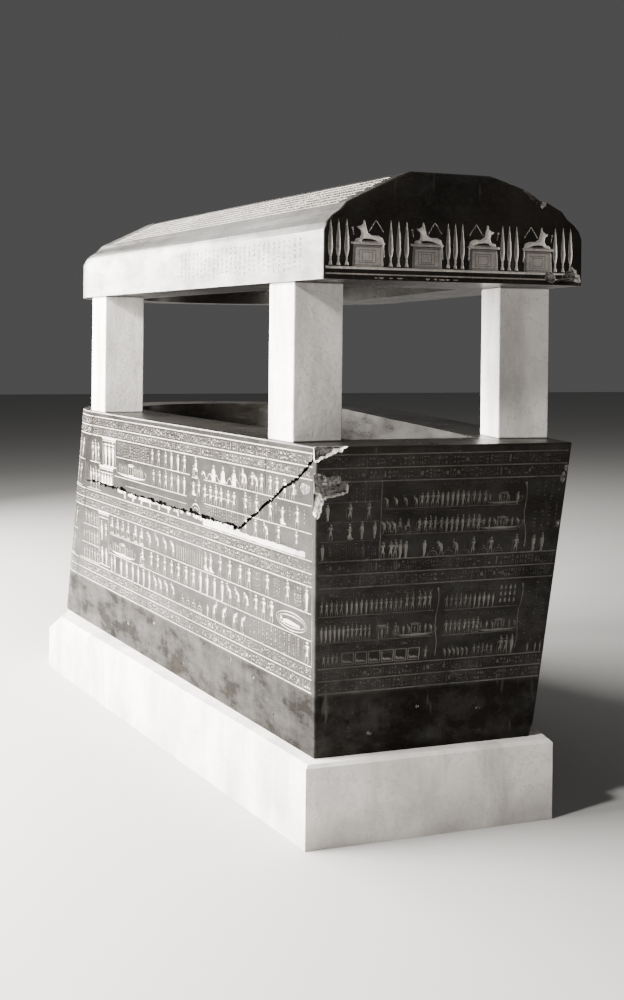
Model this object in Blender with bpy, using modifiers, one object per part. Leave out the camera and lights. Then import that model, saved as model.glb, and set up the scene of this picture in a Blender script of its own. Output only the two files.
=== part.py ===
"""Late-period stone sarcophagus on a plinth, its lid held up on four posts.

Metres, +Z up. The foot end faces -Y and the rounded head end faces +Y.
The origin is the middle of the underside of the object's bounding box.
Every outline in plan is the same figure: a straight foot end, two long sides
that spread toward the head, and a rounded head end.
"""
import math

import bmesh
import bpy
from mathutils import Matrix, Vector

# Heights
plinth_height = 0.245
chest_height = 0.919
post_height = 0.470
lid_side_height = 0.137
lid_height = 0.312
joint_gap = 0.0003

# Outlines: half width at the foot end, and distances from the rim's foot edge
side_spread = 0.1343
plinth_spread = 0.149
plinth_half = 0.404
plinth_foot = 0.082
plinth_head_start = 2.310
plinth_head_depth = 0.500
base_half = 0.359
base_foot = 0.133
base_head_start = 2.385
base_head_depth = 0.365
rim_half = 0.4128
rim_head_start = 1.915
rim_head_depth = 0.800
lid_overhang = 0.042
blunt_power = 3.0
round_power = 2.0
head_steps = 18

# Hollows
chest_wall = 0.200
chest_foot_wall = 0.240
chest_floor = 0.160
cavity_lean = 0.030
lid_rim = 0.195
lid_foot_rim = 0.390
lid_hollow_depth = 0.120

# Posts
post_size = 0.165
post_inset = 0.010
post_foot_y = 0.165
post_head_left_y = 1.818
post_head_right_angle = math.radians(46)
post_bevel = 0.004

# Softened edges
plinth_soft = 0.010
rim_soft = 0.008
base_soft = 0.004

# Carving: heights on the chest as shares of its height
band_top = (0.975, 0.932, 0.892)
band_middle = (0.638, 0.596, 0.554)
band_bottom = (0.292, 0.250, 0.208)
upper_registers = (0.815, 0.728)
lower_registers = (0.468, 0.383)
rule_width = 0.006
rule_depth = 0.003
figure_depth = 0.004
frieze_depth = 0.005

# The lid's section: distance in from its side and height above its underside
lid_section = ((0.000, lid_side_height), (0.009, 0.160), (0.025, 0.178), (0.050, 0.196),
               (0.068, 0.218), (0.232, 0.300), (0.262, lid_height))

length = lid_overhang + plinth_head_start + plinth_head_depth
foot_edge = lid_overhang - length / 2
chest_bottom = plinth_height + joint_gap
chest_top = chest_bottom + chest_height
post_bottom = chest_top + joint_gap
post_top = post_bottom + post_height
lid_bottom = post_top + joint_gap


def clear_scene():
    for item in list(bpy.data.objects):
        bpy.data.objects.remove(item, do_unlink=True)


def new_collection(name):
    collection = bpy.data.collections.new(name)
    bpy.context.scene.collection.children.link(collection)
    return collection


def new_material(name, colour, roughness):
    material = bpy.data.materials.new(name)
    material.use_nodes = True
    shader = material.node_tree.nodes["Principled BSDF"]
    shader.inputs["Base Color"].default_value = (*colour, 1.0)
    shader.inputs["Roughness"].default_value = roughness
    material.diffuse_color = (*colour, 1.0)
    return material


def outline(half, foot, start, depth, power, spread=side_spread):
    """Plan outline from the foot end's left corner round the head to its right corner."""
    points = [(-half, foot)]
    for step in range(head_steps + 1):
        angle = math.pi * step / head_steps
        across = math.copysign(abs(math.cos(angle)) ** (2 / power), math.cos(angle))
        y = start + depth * math.sin(angle) ** (2 / power)
        x = -across * (half + spread * (y - foot))
        points.append((x, y))
    points.append((half, foot))
    return points


def ring(points, z):
    return [Vector((x, y + foot_edge, z)) for x, y in points]


def loft(name, rings):
    """Closed solid through rings with the same number of points each."""
    mesh = bpy.data.meshes.new(name)
    bm = bmesh.new()
    rows = [[bm.verts.new(point) for point in points] for points in rings]
    count = len(rings[0])
    for lower, upper in zip(rows, rows[1:]):
        for i in range(count):
            j = (i + 1) % count
            bm.faces.new((lower[i], lower[j], upper[j], upper[i]))
    bm.faces.new(rows[0])
    bm.faces.new(rows[-1])
    bmesh.ops.recalc_face_normals(bm, faces=bm.faces)
    bm.to_mesh(mesh)
    bm.free()
    return mesh


def place(name, mesh, collection, material=None):
    item = bpy.data.objects.new(name, mesh)
    collection.objects.link(item)
    if material is not None:
        mesh.materials.append(material)
    return item


def place_cutter(name, mesh, collection):
    item = place(name, mesh, collection)
    item.hide_render = True
    item.display_type = "WIRE"
    return item


def cut(item, cutter):
    modifier = item.modifiers.new(cutter.name, "BOOLEAN")
    modifier.operation = "DIFFERENCE"
    modifier.solver = "EXACT"
    modifier.object = cutter
    return modifier


def mirror_across(item):
    modifier = item.modifiers.new("other side", "MIRROR")
    modifier.use_axis[0] = True
    modifier.merge_threshold = 0.0001
    return modifier


def extruded(name, shapes, depth, matrix):
    """Mesh of flat closed shapes pushed out both ways by depth, laid on a face by matrix."""
    curve = bpy.data.curves.new(name, "CURVE")
    curve.dimensions = "2D"
    curve.fill_mode = "BOTH"
    curve.extrude = depth
    for shape in shapes:
        spline = curve.splines.new("POLY")
        spline.points.add(len(shape) - 1)
        for point, (u, v) in zip(spline.points, shape):
            point.co = (u, v, 0.0, 1.0)
        spline.use_cyclic_u = True
    holder = bpy.data.objects.new(name, curve)
    mesh = bpy.data.meshes.new_from_object(holder)
    bpy.data.objects.remove(holder, do_unlink=True)
    bm = bmesh.new()
    bm.from_mesh(mesh)
    bmesh.ops.remove_doubles(bm, verts=bm.verts, dist=0.00005)
    bmesh.ops.transform(bm, matrix=matrix, verts=bm.verts)
    bmesh.ops.recalc_face_normals(bm, faces=bm.faces)
    bm.to_mesh(mesh)
    bm.free()
    return mesh


def face_frame(origin, along, other):
    """Matrix whose X runs along a face, Y up it and Z out of it."""
    u = along.normalized()
    v = (other - u * other.dot(u)).normalized()
    w = u.cross(v)
    return Matrix((
        (u.x, v.x, w.x, origin.x),
        (u.y, v.y, w.y, origin.y),
        (u.z, v.z, w.z, origin.z),
        (0.0, 0.0, 0.0, 1.0),
    ))


# Frames of the carved faces: along the face from its left corner, and up it

base_corner = Vector((-base_half, foot_edge + base_foot, chest_bottom))
rim_corner = Vector((-rim_half, foot_edge, chest_top))
corner_edge = rim_corner - base_corner
side_along = Vector((-side_spread, 1.0, 0.0)).normalized()
# On the left side the carving reads from the head to the foot, so X runs toward the foot
side_frame = face_frame(base_corner, -side_along, corner_edge)
foot_frame = face_frame(base_corner, Vector((1.0, 0.0, 0.0)), corner_edge)
side_rise = side_frame.col[1].z
foot_rise = foot_frame.col[1].z
side_corner_drift = corner_edge.dot(-side_along)
foot_corner_drift = corner_edge.x


def side_point(back, share):
    """Flat coordinates on the long side: distance back from the foot corner, share of height."""
    return side_corner_drift * share - back, share * chest_height / side_rise


def foot_point(across, share):
    """Flat coordinates on the foot end: share of its width from the left, share of height."""
    left = foot_corner_drift * share
    width = 2 * (base_half - left)
    return left + across * width, share * chest_height / foot_rise


# Flat shapes of the carving

def bar(u0, u1, v, thick):
    return [(u0, v - thick / 2), (u1, v - thick / 2), (u1, v + thick / 2), (u0, v + thick / 2)]


def standing(u, v, height):
    w = height * 0.115
    return [(u - w, v), (u + w, v), (u + w * 1.25, v + height * 0.66), (u + w * 0.55, v + height * 0.96),
            (u - w * 0.55, v + height * 0.96), (u - w * 1.25, v + height * 0.66)]


def boat(u, v, size):
    return [(u - size * 0.60, v + size * 0.42), (u - size * 0.48, v + size * 0.10), (u - size * 0.30, v),
            (u + size * 0.30, v), (u + size * 0.48, v + size * 0.10), (u + size * 0.60, v + size * 0.42),
            (u + size * 0.40, v + size * 0.16), (u - size * 0.40, v + size * 0.16)]


def cabin(u, v, size):
    return [(u - size * 0.22, v), (u + size * 0.22, v), (u + size * 0.18, v + size * 0.40),
            (u - size * 0.18, v + size * 0.40)]


def bud(u, v, height):
    w = height * 0.068
    return [(u - w * 0.5, v), (u + w * 0.5, v), (u + w, v + height * 0.42), (u + w * 0.35, v + height * 0.72),
            (u + w * 0.5, v + height), (u - w * 0.5, v + height), (u - w * 0.35, v + height * 0.72),
            (u - w, v + height * 0.42)]


def shrine(u, v, width, height):
    half = width / 2
    return [(u - half * 0.84, v), (u + half * 0.84, v), (u + half * 0.76, v + height * 0.72),
            (u + half, v + height * 0.80), (u + half, v + height), (u - half, v + height),
            (u - half, v + height * 0.80), (u - half * 0.76, v + height * 0.72)]


def jackal(u, v, width, facing):
    outline_points = [(-0.46, 0.02), (0.50, 0.02), (0.50, 0.12), (0.30, 0.14), (0.36, 0.42), (0.60, 0.44),
                      (0.60, 0.52), (0.38, 0.60), (0.34, 0.76), (0.26, 0.60), (0.16, 0.36), (-0.38, 0.30)]
    shape = [(u + facing * x * width, v + y * width) for x, y in outline_points]
    if facing < 0:
        shape.reverse()
    return shape


# The pieces

def make_plinth(collection, material, cutters):
    base = outline(plinth_half, plinth_foot, plinth_head_start, plinth_head_depth, blunt_power, plinth_spread)
    top = outline(plinth_half - plinth_soft, plinth_foot + plinth_soft, plinth_head_start,
                  plinth_head_depth - plinth_soft, blunt_power, plinth_spread)
    rings = [ring(base, 0.0), ring(base, plinth_height - plinth_soft), ring(top, plinth_height)]
    plinth = place("plinth", loft("plinth", rings), collection, material)
    cut(plinth, place_cutter("plinth chip", plinth_chip(), cutters))
    return plinth


def plinth_chip():
    """The plinth's upper edge is knocked off where its left side turns into the head."""
    turns = (math.radians(-11.6), math.radians(49), math.radians(-9.8))
    on_top = Vector((-0.686, foot_edge + 2.42, plinth_height))
    outward = turned(turns) @ Vector((-1.0, 0.0, 0.0))
    return wedge(on_top + outward * 0.15, (0.30, 1.20, 0.60), turns)


def turned(turns):
    """Rotation by the angles about X, Y and Z, taken in the order Y, X, Z."""
    about_x, about_y, about_z = turns
    turn = Matrix.Rotation(about_z, 4, "Z") @ Matrix.Rotation(about_x, 4, "X")
    return turn @ Matrix.Rotation(about_y, 4, "Y")


def wedge(centre, size, turns):
    """Turned box for breaking a corner off."""
    mesh = bpy.data.meshes.new("break")
    bm = bmesh.new()
    bmesh.ops.create_cube(bm, size=1.0)
    stretch = Matrix.Diagonal((size[0], size[1], size[2], 1.0))
    bmesh.ops.transform(bm, matrix=Matrix.Translation(centre) @ turned(turns) @ stretch, verts=bm.verts)
    bm.to_mesh(mesh)
    bm.free()
    return mesh


def chest_outline(share, inset):
    """Outline of the chest at a share of its height, drawn in by inset."""
    half = base_half + (rim_half - base_half) * share
    foot = base_foot * (1 - share)
    low = outline(base_half - inset, base_foot + inset, base_head_start, base_head_depth - inset, blunt_power)
    high = outline(rim_half - inset, inset, rim_head_start, rim_head_depth - inset, round_power)
    points = []
    for (x0, y0), (x1, y1) in zip(low, high):
        points.append((x0 + (x1 - x0) * share, y0 + (y1 - y0) * share))
    points[0] = (-half + inset, foot + inset)
    points[-1] = (half - inset, foot + inset)
    return points


def chest_ring(share, inset):
    return ring(chest_outline(share, inset), chest_bottom + chest_height * share)


def make_chest(collection, material, cutters):
    rings = [chest_ring(0.0, base_soft), chest_ring(base_soft / chest_height, 0.0)]
    half_rule = rule_width / 2 / chest_height
    for share in sorted(band_top + band_middle + band_bottom):
        rings.append(chest_ring(share - half_rule, 0.0))
        rings.append(chest_ring(share - half_rule, rule_depth))
        rings.append(chest_ring(share + half_rule, rule_depth))
        rings.append(chest_ring(share + half_rule, 0.0))
    rings.append(chest_ring(1 - rim_soft / chest_height, 0.0))
    rings.append(chest_ring(1.0, rim_soft))
    chest = place("chest", loft("chest", rings), collection, material)
    cut(chest, make_cavity(cutters))
    sides = place_cutter("side figures", extruded("side figures", side_shapes(), figure_depth, side_frame), cutters)
    mirror_across(sides)
    cut(chest, sides)
    foot = extruded("foot figures", foot_shapes(), figure_depth, foot_frame)
    cut(chest, place_cutter("foot figures", foot, cutters))
    cracks = extruded("cracks", crack_shapes(), 0.009, side_frame)
    cut(chest, place_cutter("cracks", cracks, cutters))
    for index, mesh in enumerate(chest_breaks()):
        cut(chest, place_cutter(f"chest break {index}", mesh, cutters))
    return chest


def make_cavity(cutters):
    floor = chest_bottom + chest_floor
    lean = cavity_lean
    low = outline(rim_half - chest_wall - lean, chest_foot_wall + lean, rim_head_start,
                  rim_head_depth - chest_wall - lean, round_power)
    high = outline(rim_half - chest_wall, chest_foot_wall, rim_head_start, rim_head_depth - chest_wall, round_power)
    above = chest_top + 0.05
    rings = [ring(low, floor), ring(high, chest_top), ring(high, above)]
    return place_cutter("cavity", loft("cavity", rings), cutters)


def register_height(lower, upper):
    return (upper - lower) * chest_height - 0.012


def side_shapes():
    shapes = []
    for share in upper_registers + lower_registers:
        u1, v = side_point(0.055, share)
        u0, v = side_point(1.86, share)
        shapes.append(bar(u0, u1, v, 0.005))
    rows = ((band_top[2], upper_registers[0], 9, 2), (upper_registers[0], upper_registers[1], 11, 7),
            (upper_registers[1], band_middle[0], 10, 5), (band_middle[2], lower_registers[0], 10, 6),
            (lower_registers[0], lower_registers[1], 11, 8), (lower_registers[1], band_bottom[0], 12, 3))
    for upper, lower, count, gap in rows:
        height = register_height(lower, upper)
        for index in range(count):
            back = 0.13 + index * 1.66 / (count - 1)
            u, v = side_point(back, lower)
            if index == gap:
                shapes.append(boat(u, v + 0.012, height * 1.15))
                shapes.append(cabin(u, v + 0.012 + height * 0.30, height * 1.15))
            else:
                shapes.append(standing(u, v + 0.010, height))
    return shapes


def foot_shapes():
    shapes = []
    for share in upper_registers + lower_registers:
        left, v = foot_point(0.05, share)
        right, v = foot_point(0.92, share)
        shapes.append(bar(left, right, v, 0.005))
    rows = ((band_top[2], upper_registers[0], 9, 7), (upper_registers[0], upper_registers[1], 9, 6),
            (upper_registers[1], band_middle[0], 10, 8), (band_middle[2], lower_registers[0], 9, 2),
            (lower_registers[0], lower_registers[1], 9, 7), (lower_registers[1], band_bottom[0], 10, 3))
    for upper, lower, count, gap in rows:
        height = register_height(lower, upper)
        for index in range(count):
            u, v = foot_point(0.09 + index * 0.80 / (count - 1), lower)
            if index == gap:
                shapes.append(boat(u, v + 0.012, height * 0.85))
                shapes.append(cabin(u, v + 0.012 + height * 0.25, height * 0.85))
            else:
                shapes.append(standing(u, v + 0.010, height))
    return shapes


def crack_shapes():
    """The break that runs down the left side from the foot corner toward the head."""
    line = ((0.00, 0.945, 0.004), (0.08, 0.880, 0.008), (0.14, 0.872, 0.005), (0.27, 0.842, 0.008),
            (0.37, 0.775, 0.006), (0.47, 0.735, 0.007), (0.52, 0.690, 0.003))
    upper = []
    lower = []
    for back, share, thick in line:
        u, v = side_point(back, share)
        upper.append((u, v + thick / 2))
        lower.append((u, v - thick / 2))
    return [upper[::-1] + lower]


def chest_breaks():
    """Chips at the rim's left foot corner and along the corner edges."""
    rim = rim_corner
    down = corner_edge.normalized()
    yield wedge(rim + Vector((0.030, -0.012, 0.030)), (0.16, 0.09, 0.07), (0.25, 0.42, 0.30))
    yield wedge(rim - down * 0.105 + Vector((0.028, -0.016, 0.0)), (0.085, 0.045, 0.036), (0.10, 0.15, 0.22))
    yield wedge(rim - down * 0.175 + Vector((-0.012, -0.016, 0.0)), (0.040, 0.040, 0.080), (0.10, 0.05, 0.70))
    right = Vector((rim_half, foot_edge, chest_top))
    fall = Vector((-down.x, down.y, down.z))
    yield wedge(right - fall * 0.115 + Vector((0.016, -0.018, 0.0)), (0.045, 0.045, 0.090), (0.0, -0.05, 0.60))
    low = base_corner + Vector((2 * base_half, 0.0, 0.0))
    yield wedge(low + Vector((0.014, -0.010, 0.0)), (0.050, 0.050, 0.070), (0.30, 0.10, 0.75))


def lid_ring(inset, height):
    points = outline(rim_half - inset, -lid_overhang, rim_head_start, rim_head_depth, round_power)
    narrowed = []
    for x, y in points:
        if y > rim_head_start:
            # Round the head the roof draws in toward the end of the ridge
            share = inset / lid_section[-1][0]
            y = rim_head_start + (y - rim_head_start) * (1 - share * 0.92)
        narrowed.append((x, y))
    return ring(narrowed, lid_bottom + height)


def make_lid(collection, material, cutters):
    rings = [lid_ring(0.004, 0.0), lid_ring(0.0, 0.004)]
    for inset, height in lid_section:
        rings.append(lid_ring(inset, height))
    lid = place("lid", loft("lid", rings), collection, material)
    hollow = outline(rim_half - lid_rim, lid_foot_rim, rim_head_start, rim_head_depth - lid_rim, round_power)
    inner = outline(rim_half - lid_rim - 0.03, lid_foot_rim + 0.03, rim_head_start,
                    rim_head_depth - lid_rim - 0.03, round_power)
    rings = [ring(hollow, lid_bottom - 0.05), ring(hollow, lid_bottom), ring(inner, lid_bottom + lid_hollow_depth)]
    cut(lid, place_cutter("lid hollow", loft("lid hollow", rings), cutters))
    gable = face_frame(Vector((-rim_half, foot_edge - lid_overhang, lid_bottom)), Vector((1.0, 0.0, 0.0)),
                       Vector((0.0, 0.0, 1.0)))
    frieze = extruded("frieze", frieze_shapes(), frieze_depth, gable)
    cut(lid, place_cutter("frieze", frieze, cutters))
    corner = Vector((rim_half - 0.055, foot_edge - lid_overhang, lid_bottom))
    cut(lid, place_cutter("lid break 0", wedge(corner, (0.10, 0.034, 0.045), (0.3, -0.75, 0.0)), cutters))
    eave = Vector((0.262, foot_edge - lid_overhang - 0.01, lid_bottom + 0.262))
    cut(lid, place_cutter("lid break 1", wedge(eave, (0.070, 0.050, 0.040), (0.2, 0.7, 0.3)), cutters))
    return lid


def frieze_shapes():
    """Double rule, groups of three buds, and four shrines each with a lying jackal."""
    width = 2 * rim_half
    shapes = [bar(0.018, width - 0.105, 0.013, 0.005), bar(0.018, width - 0.105, 0.032, 0.005)]
    for centre in (0.047, 0.228, 0.409, 0.582, 0.761):
        for step in (-1, 0, 1):
            shapes.append(bud(centre + step * 0.025, 0.040, 0.124))
    for centre, facing in ((0.131, -1), (0.316, -1), (0.494, 1), (0.673, 1)):
        shapes.append(shrine(centre, 0.040, 0.088, 0.060))
        shapes.append(jackal(centre, 0.103, 0.074, facing))
    return shapes


def side_post(y, side):
    """Place of a post in line with a long side: side is -1 for the left one, 1 for the right one."""
    turn = math.atan(side_spread)
    edge = rim_half + side_spread * y - post_inset
    size = post_size / 2
    matrix = Matrix.Translation((side * edge, foot_edge + y, 0.0)) @ Matrix.Rotation(-side * turn, 4, "Z")
    return matrix @ Matrix.Translation((-side * size, size, 0.0))


def head_post(angle):
    """Place of a post on the rounded head, turned to follow the rim."""
    y = rim_head_start + rim_head_depth * math.sin(angle)
    half = rim_half + side_spread * y
    x = half * math.cos(angle)
    run = Vector((-half * math.sin(angle) + side_spread * rim_head_depth * math.cos(angle) ** 2,
                  rim_head_depth * math.cos(angle)))
    run.normalize()
    inward = post_inset + post_size / 2
    centre = Vector((x - run.y * inward, y + run.x * inward + foot_edge, 0.0))
    return Matrix.Translation(centre) @ Matrix.Rotation(math.atan2(-run.x, run.y), 4, "Z")


def make_post(name, matrix, collection, material):
    matrix = Matrix.Translation((0.0, 0.0, (post_bottom + post_top) / 2)) @ matrix
    mesh = bpy.data.meshes.new(name)
    bm = bmesh.new()
    bmesh.ops.create_cube(bm, size=1.0)
    stretch = Matrix.Diagonal((post_size, post_size, post_height, 1.0))
    bmesh.ops.transform(bm, matrix=matrix @ stretch, verts=bm.verts)
    bmesh.ops.recalc_face_normals(bm, faces=bm.faces)
    bm.to_mesh(mesh)
    bm.free()
    post = place(name, mesh, collection, material)
    bevel = post.modifiers.new("softened edges", "BEVEL")
    bevel.width = post_bevel
    bevel.segments = 2
    return post


def main():
    clear_scene()
    parts = new_collection("stone_sarcophagus")
    cutters = new_collection("cutters")
    plaster = new_material("pale_plaster", (0.68, 0.65, 0.58), 0.85)
    dark_stone = new_material("dark_stone", (0.045, 0.043, 0.041), 0.32)
    lid_stone = new_material("dark_stone_lid", (0.048, 0.046, 0.043), 0.32)
    make_plinth(parts, plaster, cutters)
    make_chest(parts, dark_stone, cutters)
    posts = {
        "post_foot_left": side_post(post_foot_y, -1),
        "post_foot_right": side_post(post_foot_y, 1),
        "post_head_left": side_post(post_head_left_y, -1),
        "post_head_right": head_post(post_head_right_angle),
    }
    for name, matrix in posts.items():
        make_post(name, matrix, parts, new_material(f"plaster_{name}", (0.70, 0.67, 0.60), 0.85))
    make_lid(parts, lid_stone, cutters)


main()
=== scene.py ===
# %% [markdown]
# A stone sarcophagus: a carved chest on a plaster plinth, with its lid held up on four plaster posts.
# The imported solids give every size. This script loads them as a fixed frame, and dresses the two
# stones with their carving, breaks and polish.

# %% Load the frame
import math
import bmesh
import bpy
import numpy as np
from mathutils import Matrix, Vector
from mathutils.geometry import delaunay_2d_cdt


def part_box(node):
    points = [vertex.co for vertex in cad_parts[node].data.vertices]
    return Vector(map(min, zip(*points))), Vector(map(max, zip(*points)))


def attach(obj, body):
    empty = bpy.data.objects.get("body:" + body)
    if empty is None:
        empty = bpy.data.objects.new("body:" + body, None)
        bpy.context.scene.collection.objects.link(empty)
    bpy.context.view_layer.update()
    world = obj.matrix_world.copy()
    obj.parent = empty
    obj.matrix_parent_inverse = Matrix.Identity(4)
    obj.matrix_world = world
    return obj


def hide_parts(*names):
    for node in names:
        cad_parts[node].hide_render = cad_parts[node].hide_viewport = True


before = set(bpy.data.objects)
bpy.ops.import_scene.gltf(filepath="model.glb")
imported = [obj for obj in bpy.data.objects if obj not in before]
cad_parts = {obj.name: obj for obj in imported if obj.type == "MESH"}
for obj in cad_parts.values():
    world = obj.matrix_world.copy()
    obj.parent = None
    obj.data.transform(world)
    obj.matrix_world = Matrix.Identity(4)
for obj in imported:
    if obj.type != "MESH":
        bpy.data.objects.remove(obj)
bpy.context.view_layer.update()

# %% [markdown]
# The picture was taken with an upright plate camera: every post is parallel to the picture's side, so
# the camera looks level and its lens is shifted down instead of tilted. A shift keeps upright edges
# upright, which a tilted camera wouldn't.

# %% Camera
CAMERA_PLACE = (-1.7013, -4.8267, 1.46)
CAMERA_TURN = -20.366
CAMERA_ROLL = 0.598
FOCAL_MM, FILM_MM = 47.25, 36.0
SHIFT_RIGHT, SHIFT_UP = -0.0019, -0.1584

camera_data = bpy.data.cameras.new("camera")
camera_data.lens = FOCAL_MM
camera_data.sensor_width = FILM_MM
camera_data.shift_x = SHIFT_RIGHT
camera_data.shift_y = SHIFT_UP
camera = bpy.data.objects.new("camera", camera_data)
turn = Matrix.Rotation(math.radians(CAMERA_TURN), 4, "Z")
level = Matrix.Rotation(math.radians(90.0), 4, "X")
roll = Matrix.Rotation(math.radians(CAMERA_ROLL), 4, "Z")
camera.matrix_world = Matrix.Translation(CAMERA_PLACE) @ turn @ level @ roll
bpy.context.collection.objects.link(camera)
bpy.context.scene.camera = camera
print("camera at", CAMERA_PLACE)

# %% [markdown]
# A node tree is a chain of small steps. These helpers add one step each, so that each finish below
# reads as a recipe: a pattern, a pair of greys that it runs between, and a mask that lays one finish
# over another.

# %% Node helpers
def new_material(name):
    """Returns a material with an empty tree and its shader, joined to the output."""
    material = bpy.data.materials.new(name)
    material.use_nodes = True
    tree = material.node_tree
    tree.nodes.clear()
    shader = tree.nodes.new("ShaderNodeBsdfPrincipled")
    output = tree.nodes.new("ShaderNodeOutputMaterial")
    tree.links.new(shader.outputs["BSDF"], output.inputs["Surface"])
    return material, tree, shader


def plug(tree, value, socket):
    """Sets a socket to a number or colour, or links it to another node's output."""
    if isinstance(value, bpy.types.NodeSocket):
        tree.links.new(value, socket)
    else:
        socket.default_value = value


def noise(tree, place, scale, detail=4.0, rough=0.55, stretch=(1.0, 1.0, 1.0)):
    """Cloudy pattern from 0 to 1; scale is how many clouds there are to a metre."""
    mapping = tree.nodes.new("ShaderNodeMapping")
    mapping.inputs["Scale"].default_value = stretch
    tree.links.new(place, mapping.inputs["Vector"])
    node = tree.nodes.new("ShaderNodeTexNoise")
    node.inputs["Scale"].default_value = scale
    node.inputs["Detail"].default_value = detail
    node.inputs["Roughness"].default_value = rough
    tree.links.new(mapping.outputs["Vector"], node.inputs["Vector"])
    return node.outputs["Fac"]


def between(tree, value, low, high, start=0.0, end=1.0):
    """Spreads the range low to high of a pattern over start to end, and clips the rest."""
    node = tree.nodes.new("ShaderNodeMapRange")
    plug(tree, value, node.inputs["Value"])
    node.inputs["From Min"].default_value = low
    node.inputs["From Max"].default_value = high
    node.inputs["To Min"].default_value = start
    node.inputs["To Max"].default_value = end
    return node.outputs["Result"]


def combine(tree, kind, first, second):
    """One arithmetic step on two values."""
    node = tree.nodes.new("ShaderNodeMath")
    node.operation = kind
    plug(tree, first, node.inputs[0])
    plug(tree, second, node.inputs[1])
    return node.outputs["Value"]


def grey(value, warm=0.02):
    """A grey with a little warmth, as a colour."""
    return (value * (1.0 + warm), value, value * (1.0 - warm), 1.0)


def blend(tree, mask, first, second):
    """The first colour where the mask is 0, the second where it is 1."""
    node = tree.nodes.new("ShaderNodeMix")
    node.data_type = "RGBA"
    plug(tree, mask, node.inputs[0])
    plug(tree, first, node.inputs[6])
    plug(tree, second, node.inputs[7])
    return node.outputs[2]


def blend_value(tree, mask, first, second):
    """The first number where the mask is 0, the second where it is 1."""
    node = tree.nodes.new("ShaderNodeMix")
    node.data_type = "FLOAT"
    plug(tree, mask, node.inputs[0])
    plug(tree, first, node.inputs[2])
    plug(tree, second, node.inputs[3])
    return node.outputs[0]


def bump(tree, height, distance, below=None):
    """Turns a height pattern into dents and swellings of that many metres."""
    node = tree.nodes.new("ShaderNodeBump")
    node.inputs["Distance"].default_value = distance
    plug(tree, height, node.inputs["Height"])
    if below is not None:
        plug(tree, below, node.inputs["Normal"])
    return node.outputs["Normal"]


def attribute(tree, name):
    """A number stored on the mesh, such as how far a face is carved."""
    node = tree.nodes.new("ShaderNodeAttribute")
    node.attribute_name = name
    return node.outputs["Fac"]


def object_place(tree):
    """The point on the object, in metres."""
    return tree.nodes.new("ShaderNodeTexCoord").outputs["Object"]


def height_of(tree, place):
    """How high the point lies above the floor, in metres."""
    node = tree.nodes.new("ShaderNodeSeparateXYZ")
    tree.links.new(place, node.inputs["Vector"])
    return node.outputs["Z"]


def lay_over(tree, colour, layers):
    """Lays tones over a colour, each as (pattern, where it starts, where it is full, its most, tone)."""
    for pattern, start, full, most, tone in layers:
        colour = blend(tree, between(tree, pattern, start, full, 0.0, most), colour, tone)
    return colour


print("a warm middle grey:", grey(0.5))

# %% [markdown]
# The stone is a hard black rock, ground smooth and polished. It isn't one flat black: it is dark grey
# grains in a darker ground, with cloudy patches where handling has dulled it. The carving was cut with
# stone and copper tools and never polished, so it scatters light and looks much paler, which is what
# makes the figures readable. Each mesh stores three numbers for that: carved, which is lowered on the
# foot end as painted shade; broken; and deep, which lays painted shade in the bottom of a crack,
# near-black and without gloss. One material reads them, so a figure's edge can stay sharp where a
# picture laid over the stone would blur it. The strip under the lowest band of carving was never
# polished as well, and water has run down it, so its gloss is lower and streaked.

# %% Stone
DULL_STRIP, STRIP_EDGE = 0.190, 0.008


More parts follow.
